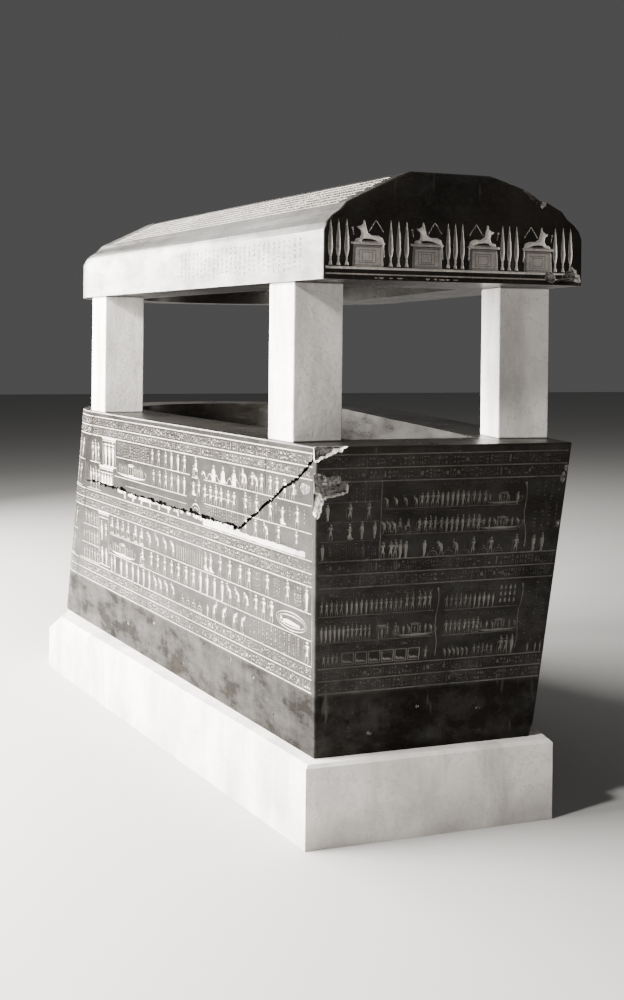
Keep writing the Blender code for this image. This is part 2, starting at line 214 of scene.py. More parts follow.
def make_stone():
    """Polished black rock; pale and rough where carved, and crystalline grey where broken."""
    material, tree, shader = new_material("black_stone")
    place = object_place(tree)
    patches = noise(tree, place, 3.2, 5.0, 0.6)
    grains = noise(tree, place, 260.0, 3.0, 0.7)
    crystals = noise(tree, place, 90.0, 4.0, 0.65)
    streaks = noise(tree, place, 6.0, 6.0, 0.7, (1.0, 0.35, 3.0))
    scrapes = noise(tree, place, 38.0, 3.0, 0.55, (1.0, 1.0, 0.10))
    specks = noise(tree, place, 120.0, 2.0, 0.5)
    handled = noise(tree, place, 5.5, 5.0, 0.6)
    mottles = noise(tree, place, 9.0, 7.0, 0.68, (1.0, 0.55, 1.3))
    drips = noise(tree, place, 16.0, 5.0, 0.62, (1.0, 1.0, 0.16))
    broken = attribute(tree, "broken")
    deep = attribute(tree, "deep")
    clean = between(tree, handled, 0.36, 0.56, 0.62, 1.0)
    # The carving's paleness; the foot end's is set lower, as painted shade.
    carved = combine(tree, "MULTIPLY", attribute(tree, "carved"), clean)

    ground = blend(tree, between(tree, patches, 0.35, 0.68), grey(0.004, 0.15), grey(0.010, 0.15))
    ground = lay_over(tree, ground, (
        (crystals, 0.55, 0.75, 0.55, grey(0.020, 0.12)),
        (grains, 0.60, 0.78, 0.40, grey(0.055, 0.08)),
        (streaks, 0.58, 0.80, 0.45, grey(0.034, 0.12)),
        (scrapes, 0.66, 0.76, 0.30, grey(0.10, 0.10)),
        (specks, 0.74, 0.79, 0.60, grey(0.16, 0.08))))
    cut = blend(tree, between(tree, crystals, 0.35, 0.70), grey(0.34, 0.06), grey(0.66, 0.06))
    worn = blend(tree, between(tree, patches, 0.40, 0.62), cut, grey(0.44, 0.06))
    split = blend(tree, between(tree, crystals, 0.38, 0.66), grey(0.018, 0.05), grey(0.20, 0.05))
    colour = blend(tree, carved, ground, worn)
    colour = blend(tree, broken, colour, split)
    # Painted shade: the bottom of a crack is laid near-black.
    colour = blend(tree, deep, colour, grey(0.004))
    tree.links.new(colour, shader.inputs["Base Color"])

    strip_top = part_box("chest")[0][2] + DULL_STRIP
    in_strip = between(tree, height_of(tree, place), strip_top - STRIP_EDGE, strip_top, 1.0, 0.0)
    polish = between(tree, mottles, 0.36, 0.60, 0.30, 0.10)
    washed = between(tree, drips, 0.35, 0.65, 1.0, 0.45)
    dulled = combine(tree, "MULTIPLY", between(tree, mottles, 0.38, 0.58, 0.24, 0.02), washed)
    polish = blend_value(tree, in_strip, polish, dulled)
    # The bottom of a crack also loses its gloss, as part of that painted shade.
    polish = combine(tree, "MULTIPLY", polish, between(tree, deep, 0.0, 1.0, 1.0, 0.0))
    tree.links.new(polish, shader.inputs["Specular IOR Level"])
    sheen = between(tree, streaks, 0.35, 0.75, 0.24, 0.44)
    matt = blend_value(tree, broken, blend_value(tree, carved, sheen, 0.78), 0.86)
    tree.links.new(matt, shader.inputs["Roughness"])
    uneven = combine(tree, "MAXIMUM", combine(tree, "MULTIPLY", carved, 0.5), broken)
    fine = bump(tree, grains, 0.0004)
    fine = bump(tree, combine(tree, "MULTIPLY", crystals, uneven), 0.0025, fine)
    tree.links.new(fine, shader.inputs["Normal"])
    return material


stone = make_stone()
print("stone nodes:", len(stone.node_tree.nodes))

# %% [markdown]
# The plinth and the posts are cast and rubbed plaster, off-white and matt. The real ones show trowel
# clouds, hairline scratches and grey stains that have run down from the joints. Near the floor the plaster
# is darkened in cloudy patches: painted shade at the plinth's low foot, far from the lamps, along with dirt.
# A crack pattern is thin where a cloudy pattern passes its middle value, which costs one node less than
# a Voronoi texture. The solids that stay, the plinth and the posts, only need this finish.

# %% Plaster
def make_plaster():
    """Off-white plaster with trowel clouds, thin scratches and faint downward stains."""
    material, tree, shader = new_material("pale_plaster")
    place = object_place(tree)
    clouds = noise(tree, place, 4.5, 6.0, 0.6)
    runs = noise(tree, place, 7.0, 5.0, 0.65, (1.0, 1.0, 0.22))
    grit = noise(tree, place, 330.0, 3.0, 0.6)
    pores = noise(tree, place, 70.0, 4.0, 0.6)
    veins = noise(tree, place, 5.0, 8.0, 0.72)
    # Darker towards the floor in cloudy patches: painted shade at the plinth's foot, along with dirt.
    by_floor = between(tree, height_of(tree, place), 0.02, 0.34, 0.90, 0.10)
    floor_shade_and_soil = combine(tree, "MULTIPLY", by_floor, between(tree, clouds, 0.3, 0.6, 1.0, 0.4))
    line = combine(tree, "ABSOLUTE", combine(tree, "SUBTRACT", veins, 0.5), 0.0)
    scratch = between(tree, line, 0.0, 0.007, 0.70, 0.0)
    colour = blend(tree, between(tree, clouds, 0.36, 0.68), grey(0.66, 0.03), grey(0.80, 0.03))
    colour = lay_over(tree, colour, [(runs, 0.47, 0.68, 0.70, grey(0.32, 0.08))])
    colour = blend(tree, floor_shade_and_soil, colour, grey(0.30, 0.08))
    colour = blend(tree, scratch, colour, grey(0.30, 0.05))
    colour = lay_over(tree, colour, [(pores, 0.64, 0.74, 0.30, grey(0.48, 0.05))])
    tree.links.new(colour, shader.inputs["Base Color"])
    tree.links.new(between(tree, clouds, 0.3, 0.7, 0.72, 0.9), shader.inputs["Roughness"])
    fine = bump(tree, pores, 0.0015, bump(tree, grit, 0.0005))
    tree.links.new(bump(tree, clouds, 0.004, fine), shader.inputs["Normal"])
    return material


plaster = make_plaster()
for name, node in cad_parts.items():
    finish = stone if name in ("chest", "lid") else plaster
    node.data.materials.clear()
    node.data.materials.append(finish)
print("plaster nodes:", len(plaster.node_tree.nodes))

# %% [markdown]
# The sizes below are the solids' own. Both stones share one plan: a straight foot end, two sides that
# spread by the same slope toward the head, and a rounded head. Every surface is worked out from that
# plan, so the dressed stone lies where the solid does. EDGE is how far the long edges are rounded, and
# PALENESS is how pale each kind of carving is laid: the foot end's is dimmer, as painted shade for an
# end that faces away from the main light, and some is all but worn off.

# %% Sizes of the stones
chest_low, chest_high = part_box("chest")
lid_low, lid_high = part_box("lid")
CHEST_TALL = chest_high[2] - chest_low[2]
FOOT_EDGE = -1.384
SPREAD = 0.1343
SIDE_LONG = 1.00898
BASE_HALF, BASE_FOOT, BASE_HEAD, BASE_DEPTH = 0.359, 0.133, 2.385, 0.365
RIM_HALF, RIM_HEAD, RIM_DEPTH = 0.4128, 1.915, 0.800
CHEST_WALL, CHEST_FOOT_WALL, CHEST_FLOOR, CAVITY_LEAN = 0.200, 0.240, 0.160, 0.030
LID_OVERHANG, LID_RIM, LID_FOOT_RIM, LID_HOLLOW, LID_LEAN = 0.042, 0.195, 0.390, 0.120, 0.030
LID_SECTION = np.array([(0.0, 0.0), (0.0, 0.137), (0.009, 0.160), (0.025, 0.178), (0.050, 0.196),
                        (0.068, 0.218), (0.232, 0.300), (0.262, 0.312)])
EDGE = 0.006
HEAD_POWER_BASE, HEAD_POWER_RIM = 3.0, 2.0
# The dimmer finish is painted shade on the foot end and on break lips that face away from the main light; it
# also tones the gable's quieter inner shapes. The deep finish lays painted shade, near-black, in cracks.
PLAIN, CARVED, BROKEN, FAINT, DIM, DEEP_SHADE = range(6)
PALENESS = {CARVED: 1.0, DIM: 0.40, FAINT: 0.17}
print("chest", round(CHEST_TALL, 4), "m tall")

# %% [markdown]
# Carving is drawn flat first, as a stonecutter drew it on the polished face, and then sunk. Each
# figure is a closed outline. All the outlines of one face go through a constrained triangulation,
# which keeps every drawn line as an edge. Each triangle then takes the depth of the last outline that
# holds it, like paper shapes laid over each other, and a little wall closes each step in depth. A
# displacement map would need millions of faces to keep edges this crisp.

# %% Sinking drawn shapes into a face
MICRON = 1e-6
LEVELS = 10_000_000


def holds(outline, points):
    """Which points an outline holds: it is counted how often the outline winds round each."""
    start, end = outline, np.roll(outline, -1, axis=0)
    x, y = points[:, :1], points[:, 1:]
    side = (end[:, 0] - start[:, 0]) * (y - start[:, 1]) - (x - start[:, 0]) * (end[:, 1] - start[:, 1])
    up = (start[:, 1] <= y) & (end[:, 1] > y) & (side > 0)
    down = (start[:, 1] > y) & (end[:, 1] <= y) & (side < 0)
    return up.sum(axis=1) != down.sum(axis=1)


def carve(shapes, place, scatter=None, mirror=False):
    """Triangles of a face with its shapes sunk in, as (points, triangles, finish of each triangle).

    shapes are (outline, depth, finish), the face's own outline first, and a depth below zero is a
    hole. A point at (u, v) and depth d lands at place(u, v, d), for whole arrays at once."""
    outlines = [np.asarray(shape[0], float) for shape in shapes]
    sizes = np.array([len(outline) for outline in outlines])
    first = np.repeat(np.cumsum(sizes) - sizes, sizes)
    index = np.arange(sizes.sum())
    following = np.where(index + 1 == first + np.repeat(sizes, sizes), first, index + 1)
    points = np.vstack(outlines if scatter is None else outlines + [scatter])
    edges = np.column_stack([index, following]).tolist()
    result = delaunay_2d_cdt(points.tolist(), edges, [], 0, MICRON, False)
    flat = np.array([tuple(point) for point in result[0]])
    triangles = np.array(result[2])
    middles = flat[triangles].mean(axis=1)
    order = np.argsort(middles[:, 0])
    sorted_x = middles[order, 0]
    top = np.full(len(triangles), -1)
    for number, outline in enumerate(outlines):
        (x0, y0), (x1, y1) = outline.min(axis=0), outline.max(axis=0)
        near = order[np.searchsorted(sorted_x, x0):np.searchsorted(sorted_x, x1, side="right")]
        near = near[(middles[near, 1] >= y0) & (middles[near, 1] <= y1)]
        top[near[holds(outline, middles[near])]] = number
    depth = np.array([shape[1] for shape in shapes], float)[top]
    finish = np.array([shape[2] for shape in shapes])[top]
    kept = (top >= 0) & (depth >= 0)
    triangles, depth, finish = triangles[kept], depth[kept], finish[kept]
    a, b, c = (flat[triangles[:, i]] for i in range(3))
    turned = (b[:, 0] - a[:, 0]) * (c[:, 1] - a[:, 1]) < (b[:, 1] - a[:, 1]) * (c[:, 0] - a[:, 0])
    triangles[turned] = triangles[turned][:, ::-1]
    level = np.round(depth / MICRON).astype(np.int64)
    keys = triangles.astype(np.int64) * LEVELS + level[:, None]
    used, sunk = np.unique(keys.ravel(), return_inverse=True)
    sunk = sunk.reshape(-1, 3)
    where = used // LEVELS
    down = (used % LEVELS) * MICRON
    space = place(flat[where, 0], flat[where, 1], down)
    walls, wall_finish = step_walls(triangles, sunk, depth, finish, len(flat))
    faces = np.vstack([sunk, walls])
    finish = np.concatenate([finish, wall_finish])
    if mirror:
        space = space * (-1.0, 1.0, 1.0)
        faces = faces[:, ::-1]
    return space, faces, finish


def step_walls(triangles, sunk, depth, finish, count):
    """Two triangles down each edge whose neighbours lie at different depths."""
    start = triangles.ravel().astype(np.int64)
    end = triangles[:, (1, 2, 0)].ravel().astype(np.int64)
    low = sunk.ravel()
    high = sunk[:, (1, 2, 0)].ravel()
    owner = np.repeat(np.arange(len(triangles)), 3)
    code = start * count + end
    order = np.argsort(code)
    twin = end * count + start
    spot = np.clip(np.searchsorted(code[order], twin), 0, len(code) - 1)
    other = order[spot]
    stepped = (code[other] == twin) & (depth[owner] < depth[owner[other]] - MICRON / 1000)
    a, b = low[stepped], high[stepped]
    other = other[stepped]
    below_b, below_a = low[other], high[other]
    walls = np.vstack([np.column_stack([a, below_a, below_b]), np.column_stack([a, below_b, b])])
    deeper = finish[owner[other]]
    return walls, np.concatenate([deeper, deeper])


square = np.array([(0, 0), (1, 0), (1, 1), (0, 1)], float)
trial = carve([(square, 0.0, PLAIN), (square * 0.4 + 0.3, 0.01, CARVED)],
              lambda u, v, down: np.column_stack([u, v, -down]))
print("a square sunk into a square:", len(trial[0]), "points,", len(trial[1]), "triangles")

# %% [markdown]
# Rounded edges and the hollow's walls are strips: rows of points side by side, joined by triangles. A
# broken place is a box, turned to the angle of the break. Every point of the skin inside the box moves
# one way until it is out, so the box bites a flat facet, and a sum of sine waves makes the facet ragged.
# A Boolean cut would do the same to a solid, but these skins are open sheets, and it would drop the
# finishes that are stored with their faces.

# %% Strips and breaks
def strip(rows, closed=True, flip=False):
    """Triangles between neighbouring rows of points, each row an array of the same length."""
    rows = np.asarray(rows)
    deep, wide = rows.shape[:2]
    index = np.arange(deep * wide).reshape(deep, wide)
    if closed:
        index = np.column_stack([index, index[:, :1]])
    a, b = index[:-1, :-1].ravel(), index[:-1, 1:].ravel()
    c, d = index[1:, 1:].ravel(), index[1:, :-1].ravel()
    faces = np.vstack([np.column_stack([a, b, c]), np.column_stack([a, c, d])])
    if flip:
        faces = faces[:, ::-1]
    return rows.reshape(-1, 3), faces, np.full(len(faces), PLAIN)


def rough(points, seed, size):
    """Broken-stone waviness at each point: many sine waves in seeded directions, coarse to fine."""
    rng = np.random.default_rng(seed)
    total = np.zeros(len(points))
    for octave in range(5):
        rate = 28.0 * 2.1 ** octave
        waves = rng.normal(size=(6, 3)) * rate
        phase = rng.uniform(0, 2 * math.pi, 6)
        total += np.sin(points @ waves.T + phase).sum(axis=1) / 2.0 ** octave
    return total * size / 6.0


def knock_off(points, centre, size, turns, inward, seed):
    """Where a point lies in a turned box, it moves along inward until it leaves, plus roughness."""
    about_x, about_y, about_z = turns
    turn = np.array(Matrix.Rotation(about_z, 3, "Z") @ Matrix.Rotation(about_x, 3, "X")
                    @ Matrix.Rotation(about_y, 3, "Y"))
    half = np.asarray(size) / 2
    local = (points - np.asarray(centre)) @ turn
    inside = (np.abs(local) < half).all(axis=1)
    way = np.asarray(inward, float)
    way /= np.linalg.norm(way)
    heading = way @ turn
    room = (half - local[inside] * np.sign(heading)) / np.maximum(np.abs(heading), 1e-9)
    travel = room.min(axis=1)
    ragged = np.clip(travel + rough(points[inside], seed, 0.0035) * np.minimum(travel / 0.01, 1), 0, None)
    points[inside] += way * ragged[:, None]
    return inside


bite = np.array([(0.0, 0.0, 0.0), (1.0, 0.0, 0.0)])
knock_off(bite, (0, 0, 0), (0.1, 0.1, 0.1), (0, 0, 0), (0, 0, 1), 1)
print("a point knocked out of a box, and one outside it:", bite.round(4).tolist())

# %% [markdown]
# Patches that were worked out apart meet along the same sample points. Welding makes those points one,
# so that smooth shading runs over the joint. The finishes go onto the mesh last, as three numbers at
# each corner of each face, because a number at a point would bleed from a figure into the stone.

# %% Building a piece
WELD_WITHIN = 1.5e-5
LONGEST_LIP = 0.022
SHARP_FROM = 30.0


def triangle_mesh(name, points, faces):
    """A mesh of triangles from whole arrays."""
    mesh = bpy.data.meshes.new(name)
    mesh.vertices.add(len(points))
    mesh.vertices.foreach_set("co", points.astype(np.float32).ravel())
    mesh.loops.add(len(faces) * 3)
    mesh.loops.foreach_set("vertex_index", faces.astype(np.int32).ravel())
    mesh.polygons.add(len(faces))
    mesh.polygons.foreach_set("loop_start", np.arange(len(faces), dtype=np.int32) * 3)
    mesh.update(calc_edges=True)
    return mesh


def weld(points, faces, finish):
    """Points that lie in the same place become one, and faces left without area go."""
    mesh = triangle_mesh("weld", points, faces)
    mesh.attributes.new("finish", "INT", "FACE").data.foreach_set("value", finish.astype(np.int32))
    work = bmesh.new()
    work.from_mesh(mesh)
    bmesh.ops.remove_doubles(work, verts=work.verts, dist=WELD_WITHIN)
    work.to_mesh(mesh)
    work.free()
    points = np.empty(len(mesh.vertices) * 3, np.float32)
    mesh.vertices.foreach_get("co", points)
    faces = np.empty(len(mesh.loops), np.int32)
    mesh.loops.foreach_get("vertex_index", faces)
    finish = np.empty(len(mesh.polygons), np.int32)
    mesh.attributes["finish"].data.foreach_get("value", finish)
    bpy.data.meshes.remove(mesh)
    return points.reshape(-1, 3).astype(float), faces.reshape(-1, 3), finish


def build_piece(name, parts, breaks, stone_part):
    """One mesh from several patches: welded, its breaks knocked off, its finishes stored, and set in
    the place of one of the two solid stones."""
    counts = np.cumsum([0] + [len(part[0]) for part in parts])
    points = np.vstack([part[0] for part in parts])
    faces = np.vstack([part[1] + start for part, start in zip(parts, counts)])
    finish = np.concatenate([part[2] for part in parts])
    points, faces, finish = weld(points, faces, finish)
    for seed, (*chip, lip) in enumerate(breaks):
        moved = knock_off(points, *chip, seed + 11)
        corners = points[faces]
        longest = np.linalg.norm(corners - np.roll(corners, 1, axis=1), axis=2).max(axis=1)
        finish[moved[faces].any(axis=1) & (longest < LONGEST_LIP)] = lip
        finish[moved[faces].all(axis=1)] = BROKEN
    mesh = triangle_mesh(name, points, faces)
    # Paleness by finish: the foot end's dimmer carving is painted shade, and the deep mark below lays painted
    # shade in cracks.
    cut = sum(share * (finish == kind) for kind, share in PALENESS.items())
    for label, amount in (("carved", cut), ("broken", finish == BROKEN), ("deep", finish == DEEP_SHADE)):
        layer = mesh.attributes.new(label, "FLOAT", "CORNER")
        layer.data.foreach_set("value", np.repeat(amount.astype(np.float32), 3))
    mesh.shade_smooth()
    mesh.set_sharp_from_angle(angle=math.radians(SHARP_FROM))
    piece = bpy.data.objects.new(name, mesh)
    bpy.context.collection.objects.link(piece)
    mesh.materials.append(stone)
    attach(piece, "root")
    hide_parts(stone_part)
    edges = np.sort(np.vstack([faces[:, (0, 1)], faces[:, (1, 2)], faces[:, (2, 0)]]), axis=1)
    shared = np.unique(edges, axis=0, return_counts=True)[1]
    corners = points[faces]
    volume = np.einsum("ij,ij->i", corners[:, 0], np.cross(corners[:, 1], corners[:, 2])).sum() / 6
    print(name, len(faces), "triangles, open edges", int((shared == 1).sum()), "volume", round(volume, 4))


print("patches are welded within", WELD_WITHIN, "m")

# %% [markdown]
# The figures are built like the stonecutter's pattern book: a handful of stock shapes made from
# ribbons (a limb, a staff, a snake), ovals (a head, a disc) and straight-sided outlines (a kilt, a
# shrine). One unit is the height of a standing figure, and each is set down at its own size and place.

# %% Drawing tools
def ribbon(points, widths):
    """A band along a path: each point moves half the width to either side, square to the path."""
    path = np.asarray(points, float)
    along = np.gradient(path, axis=0)
    along /= np.linalg.norm(along, axis=1, keepdims=True)
    across = np.column_stack([-along[:, 1], along[:, 0]])
    half = np.broadcast_to(np.asarray(widths, float), len(path))[:, None] / 2
    return np.vstack([path + across * half, (path - across * half)[::-1]])


def oval(x, y, wide, tall=None, count=9):
    """Points on an ellipse: x runs as a cosine and y as a sine."""
    angle = np.linspace(0, 2 * math.pi, count, endpoint=False)
    tall = wide if tall is None else tall
    return np.column_stack([x + wide * np.cos(angle), y + tall * np.sin(angle)])


def block(x0, y0, x1, y1):
    """A rectangle from its two corners."""
    return np.array([(x0, y0), (x1, y0), (x1, y1), (x0, y1)], float)


def rail(x0, x1, y, wide):
    """A level rule with a point every 12 mm, so that it can bend into a broken corner."""
    x = np.linspace(x0, x1, max(int((x1 - x0) / 0.012), 2))
    return np.vstack([np.column_stack([x, np.full(len(x), y - wide / 2)]),
                      np.column_stack([x, np.full(len(x), y + wide / 2)])[::-1]])


def arch(x, y, wide, tall, count=9):
    """Half an ellipse standing on its flat side."""
    angle = np.linspace(0, math.pi, count)
    return np.column_stack([x + wide * np.cos(angle), y + tall * np.sin(angle)])


def frame_of(outer, inner):
    """An outline with its middle left standing: the second shape is laid back at no depth."""
    return [outer, ("keep", inner)]


def hollow_frame(x0, y0, x1, y1, wall):
    """A rectangle drawn as a frame of an even width."""
    return frame_of(block(x0, y0, x1, y1), block(x0 + wall, y0 + wall, x1 - wall, y1 - wall))


print("an oval of", len(oval(0, 0, 1)), "points, a rule of", len(rail(0, 1, 0, 0.01)))

# %% [markdown]
# Six stock figures make nearly all the rows: walking, wrapped, bowed, crouching, seated and kneeling.
# A head of one of five kinds goes on top, so a row of the same figure still varies. At the scale of the
# real carving, a figure is eight centimetres tall, and a dozen simple shapes are all that the eye reads.

# %% Stock figures, facing left
LEG = (0.07, 0.055, 0.034, 0.022)
ARM = (0.04, 0.03, 0.026)
THIN_ARM = (0.04, 0.03, 0.024)
STAFF = 0.016


def head(x, y, kind):
    """A head in a wig, or with a beak, a snout and ears, or a disc above."""
    wig = ribbon([(x + 0.03, y + 0.06), (x + 0.066, y), (x + 0.06, y - 0.11)], (0.05, 0.055, 0.045))
    parts = [oval(x, y, 0.052, 0.066), wig]
    if kind == 1:
        parts.append(ribbon([(x - 0.02, y), (x - 0.13, y - 0.025)], (0.06, 0.02)))
        parts.append(ribbon([(x + 0.01, y + 0.04), (x + 0.03, y + 0.16)], (0.035, 0.012)))
    if kind == 2:
        parts.append(ribbon([(x - 0.02, y + 0.01), (x - 0.10, y - 0.03)], (0.05, 0.012)))
        parts.append(oval(x, y + 0.15, 0.06))
    if kind == 3:
        parts.append(ribbon([(x - 0.01, y + 0.05), (x - 0.03, y + 0.19)], (0.05, 0.02)))
        parts.append(ribbon([(x + 0.03, y + 0.05), (x + 0.05, y + 0.19)], (0.05, 0.02)))
    if kind == 4:
        parts.append(ribbon([(x - 0.04, y - 0.05), (x - 0.07, y - 0.12)], (0.018, 0.012)))
    return parts


def walker(kind=0, staff=True):
    """Standing figure in a kilt with one leg forward and a staff."""
    chest = [(-0.12, 0.81), (0.12, 0.81), (0.10, 0.73), (0.052, 0.62), (0.06, 0.50), (-0.065, 0.50),
             (-0.045, 0.62), (-0.105, 0.73)]
    kilt = [(-0.065, 0.52), (0.06, 0.52), (0.095, 0.33), (-0.125, 0.31)]
    parts = head(-0.01, 0.925, kind) + [
        chest, kilt,
        ribbon([(-0.07, 0.34), (-0.09, 0.18), (-0.10, 0.035), (-0.18, 0.012)], LEG),
        ribbon([(0.045, 0.34), (0.075, 0.18), (0.08, 0.035), (0.00, 0.012)], LEG),
        ribbon([(0.105, 0.79), (0.135, 0.64), (0.11, 0.49)], ARM)]
    if not staff:
        return parts + [ribbon([(-0.10, 0.79), (-0.16, 0.66), (-0.20, 0.76)], ARM)]
    return parts + [ribbon([(-0.10, 0.79), (-0.17, 0.66), (-0.225, 0.61)], ARM),
                    ribbon([(-0.228, 0.02), (-0.228, 0.93)], STAFF)]


def wrapped(kind=0):
    """Standing wrapped figure: one smooth body narrowing to the feet."""
    body = [(-0.09, 0.83), (0.08, 0.83), (0.115, 0.72), (0.095, 0.45), (0.062, 0.12), (0.05, 0.0),
            (-0.13, 0.0), (-0.12, 0.035), (-0.05, 0.08), (-0.08, 0.45), (-0.10, 0.70)]
    return head(-0.01, 0.925, kind) + [body, ribbon([(-0.07, 0.68), (-0.15, 0.66)], 0.03),
                                       ribbon([(-0.155, 0.40), (-0.155, 0.86)], STAFF)]


def bowed(kind=0):
    """Figure bending forward with both arms hanging in front."""
    back = [(-0.20, 0.74), (-0.02, 0.80), (0.09, 0.66), (0.10, 0.50), (-0.035, 0.50), (-0.06, 0.60),
            (-0.17, 0.66)]
    kilt = [(-0.04, 0.52), (0.10, 0.52), (0.12, 0.33), (-0.08, 0.31)]
    return head(-0.20, 0.82, kind) + [
        back, kilt,
        ribbon([(-0.03, 0.34), (-0.05, 0.18), (-0.06, 0.035), (-0.14, 0.012)], LEG),
        ribbon([(0.07, 0.34), (0.09, 0.18), (0.09, 0.035), (0.02, 0.012)], LEG),
        ribbon([(-0.17, 0.71), (-0.22, 0.56), (-0.24, 0.40)], ARM),
        ribbon([(-0.10, 0.70), (-0.15, 0.56), (-0.16, 0.42)], ARM)]


def crouched(kind=0):
    """Figure squatting with its knees drawn up under a cloak."""
    return head(0.0, 0.845, kind) + [[(-0.13, 0.62), (-0.05, 0.74), (0.08, 0.74), (0.17, 0.56), (0.19, 0.02),
                                      (-0.23, 0.02), (-0.22, 0.07), (-0.17, 0.10), (-0.19, 0.50)]]


def seated(kind=0):
    """Figure on a block seat, hands on its knees, over a low base."""
    body = [(-0.06, 0.81), (0.13, 0.81), (0.11, 0.62), (0.14, 0.44), (-0.19, 0.44), (-0.19, 0.52),
            (-0.02, 0.55)]
    shin = ribbon([(-0.17, 0.50), (-0.17, 0.14), (-0.25, 0.11)], (0.07, 0.045, 0.03))
    seat = frame_of(block(-0.08, 0.08, 0.17, 0.42), block(-0.045, 0.12, 0.135, 0.38))
    return head(0.02, 0.925, kind) + [body, shin] + seat + [
        block(0.17, 0.40, 0.20, 0.52),
        ribbon([(-0.04, 0.74), (-0.13, 0.60), (-0.22, 0.62)], THIN_ARM),
        block(-0.30, 0.0, 0.22, 0.05)]


def kneeling(kind=0):
    """Figure on one knee with raised arms."""
    body = [(-0.10, 0.70), (0.10, 0.70), (0.06, 0.42), (0.12, 0.16), (0.26, 0.08), (0.26, 0.02),
            (-0.12, 0.02), (-0.16, 0.24), (-0.06, 0.30), (-0.05, 0.42)]
    return head(0.0, 0.80, kind) + [body, ribbon([(-0.09, 0.68), (-0.20, 0.62), (-0.24, 0.82)], THIN_ARM),
                                    ribbon([(0.09, 0.68), (0.18, 0.60), (0.22, 0.78)], THIN_ARM)]


FIGURES = {"walk": walker, "wrap": wrapped, "bow": bowed, "crouch": crouched, "seat": seated,
           "kneel": kneeling}
print("shapes in each figure:", {name: len(figure()) for name, figure in FIGURES.items()})

# %% [markdown]
# Between the figures stand a few larger things: boats with a cabin and a crew, a long snake, domed
# mounds and small shrines. Each is drawn at a height of one, from the same ribbons and outlines.

# %% Boats, snakes, shrines and mounds
def boat(length, crew):
    """Crescent hull with its two ends curled up, a shrine amidships and a crew standing on deck.

    The keel rises as the third power of the distance from the middle, and the deck lies over it."""
    t = np.linspace(-1, 1, 19)
    keel = 0.16 * np.abs(t) ** 3
    deck = keel + 0.13 * (1 - np.abs(t) ** 2.5) + 0.015
    x = t * length / 2
    reach = length / 2
    curl = (0.05, 0.05, 0.09)
    parts = [np.vstack([np.column_stack([x, keel]), np.column_stack([x, deck])[::-1]]),
             ribbon([(-reach * 0.97, 0.15), (-reach * 1.06, 0.34), (-reach * 0.99, 0.50)], curl),
             ribbon([(reach * 0.97, 0.15), (reach * 1.07, 0.36), (reach * 0.97, 0.54)], curl)]
    floor = 0.15
    wide = length * 0.085
    parts += frame_of(block(-wide, floor, wide, floor + 0.62),
                      block(-wide * 0.78, floor + 0.05, wide * 0.78, floor + 0.54))
    roof = [(-wide * 1.2, floor + 0.63), (0, floor + 0.70), (wide * 1.2, floor + 0.63)]
    parts.append(ribbon(roof, 0.05))
    parts += set_down(walker(2, False), 0, floor + 0.05, 0.44)
    spots = np.concatenate([np.linspace(-0.80, -0.26, crew), np.linspace(0.26, 0.80, crew)]) * reach
    for index, spot in enumerate(spots):
        figure = (walker, wrapped, bowed)[index % 3]
        parts += set_down(figure(index % 4), spot, floor, 0.60)
    parts.append(ribbon([(reach * 0.70, floor + 0.45), (reach * 0.92, -0.02)], 0.02))
    return parts


def set_down(parts, x, y, size, flip=False, slim=1.0):
    """Stock shapes at their place and size; flip turns a figure to face right, slim narrows it."""
    placed = []
    wide = -size * slim if flip else size * slim
    for part in parts:
        keep = isinstance(part, tuple)
        outline = np.asarray(part[1] if keep else part) * (wide, size) + (x, y)
        placed.append((part[0], outline) if keep else outline)
    return placed


def snake(x0, x1, y, tall, waves):
    """A wavy body: its height runs as a sine of the distance, with a thick head and a thin tail."""
    t = np.linspace(0, 1, 8 * waves + 1)
    body = np.column_stack([x0 + (x1 - x0) * t, y + tall * 0.5 * np.sin(t * waves * 2 * math.pi)])
    widths = tall * np.interp(t, (0, 0.03, 0.10, 0.8, 1), (0.35, 0.55, 0.26, 0.26, 0.05))
    return [ribbon(body, widths)]


def mound(wide, tall):
    """A domed mound drawn as an outline, with a head rising from it."""
    dome = arch(0, 0, wide / 2, tall * 0.62)
    parts = frame_of(dome, arch(0, 0.03 * tall, wide / 2 - 0.06 * tall, tall * 0.50))
    parts += set_down(head(0, 0.925, 0), 0, -0.10 * tall, tall)
    parts.append(ribbon([(-wide * 0.3, 0.2 * tall), (0, 0.33 * tall), (wide * 0.3, 0.2 * tall)], 0.05 * tall))
    return parts


def shrine(wide, tall, kind=0):
    """A small building in outline with a curved cornice and a figure inside."""
    half, wall = wide / 2, 0.05 * tall
    parts = frame_of(block(-half, 0, half, tall * 0.86), block(-half + wall, wall, half - wall, tall * 0.78))
    parts.append([(-wide * 0.60, tall), (-wide * 0.50, tall * 0.88), (wide * 0.50, tall * 0.88),
                  (wide * 0.60, tall)])
    return parts + set_down(wrapped(kind), 0, wall, 0.68 * tall)


print("a boat with a crew of eight has", len(boat(4.3, 4)), "shapes")

# %% [markdown]
# The rows of signs aren't writing: they are short strokes in the rhythm that carved columns have, so
# that the bands have the right grain without saying anything. A seeded random generator picks one of
# ten marks, so every run of the script gives the same rows.

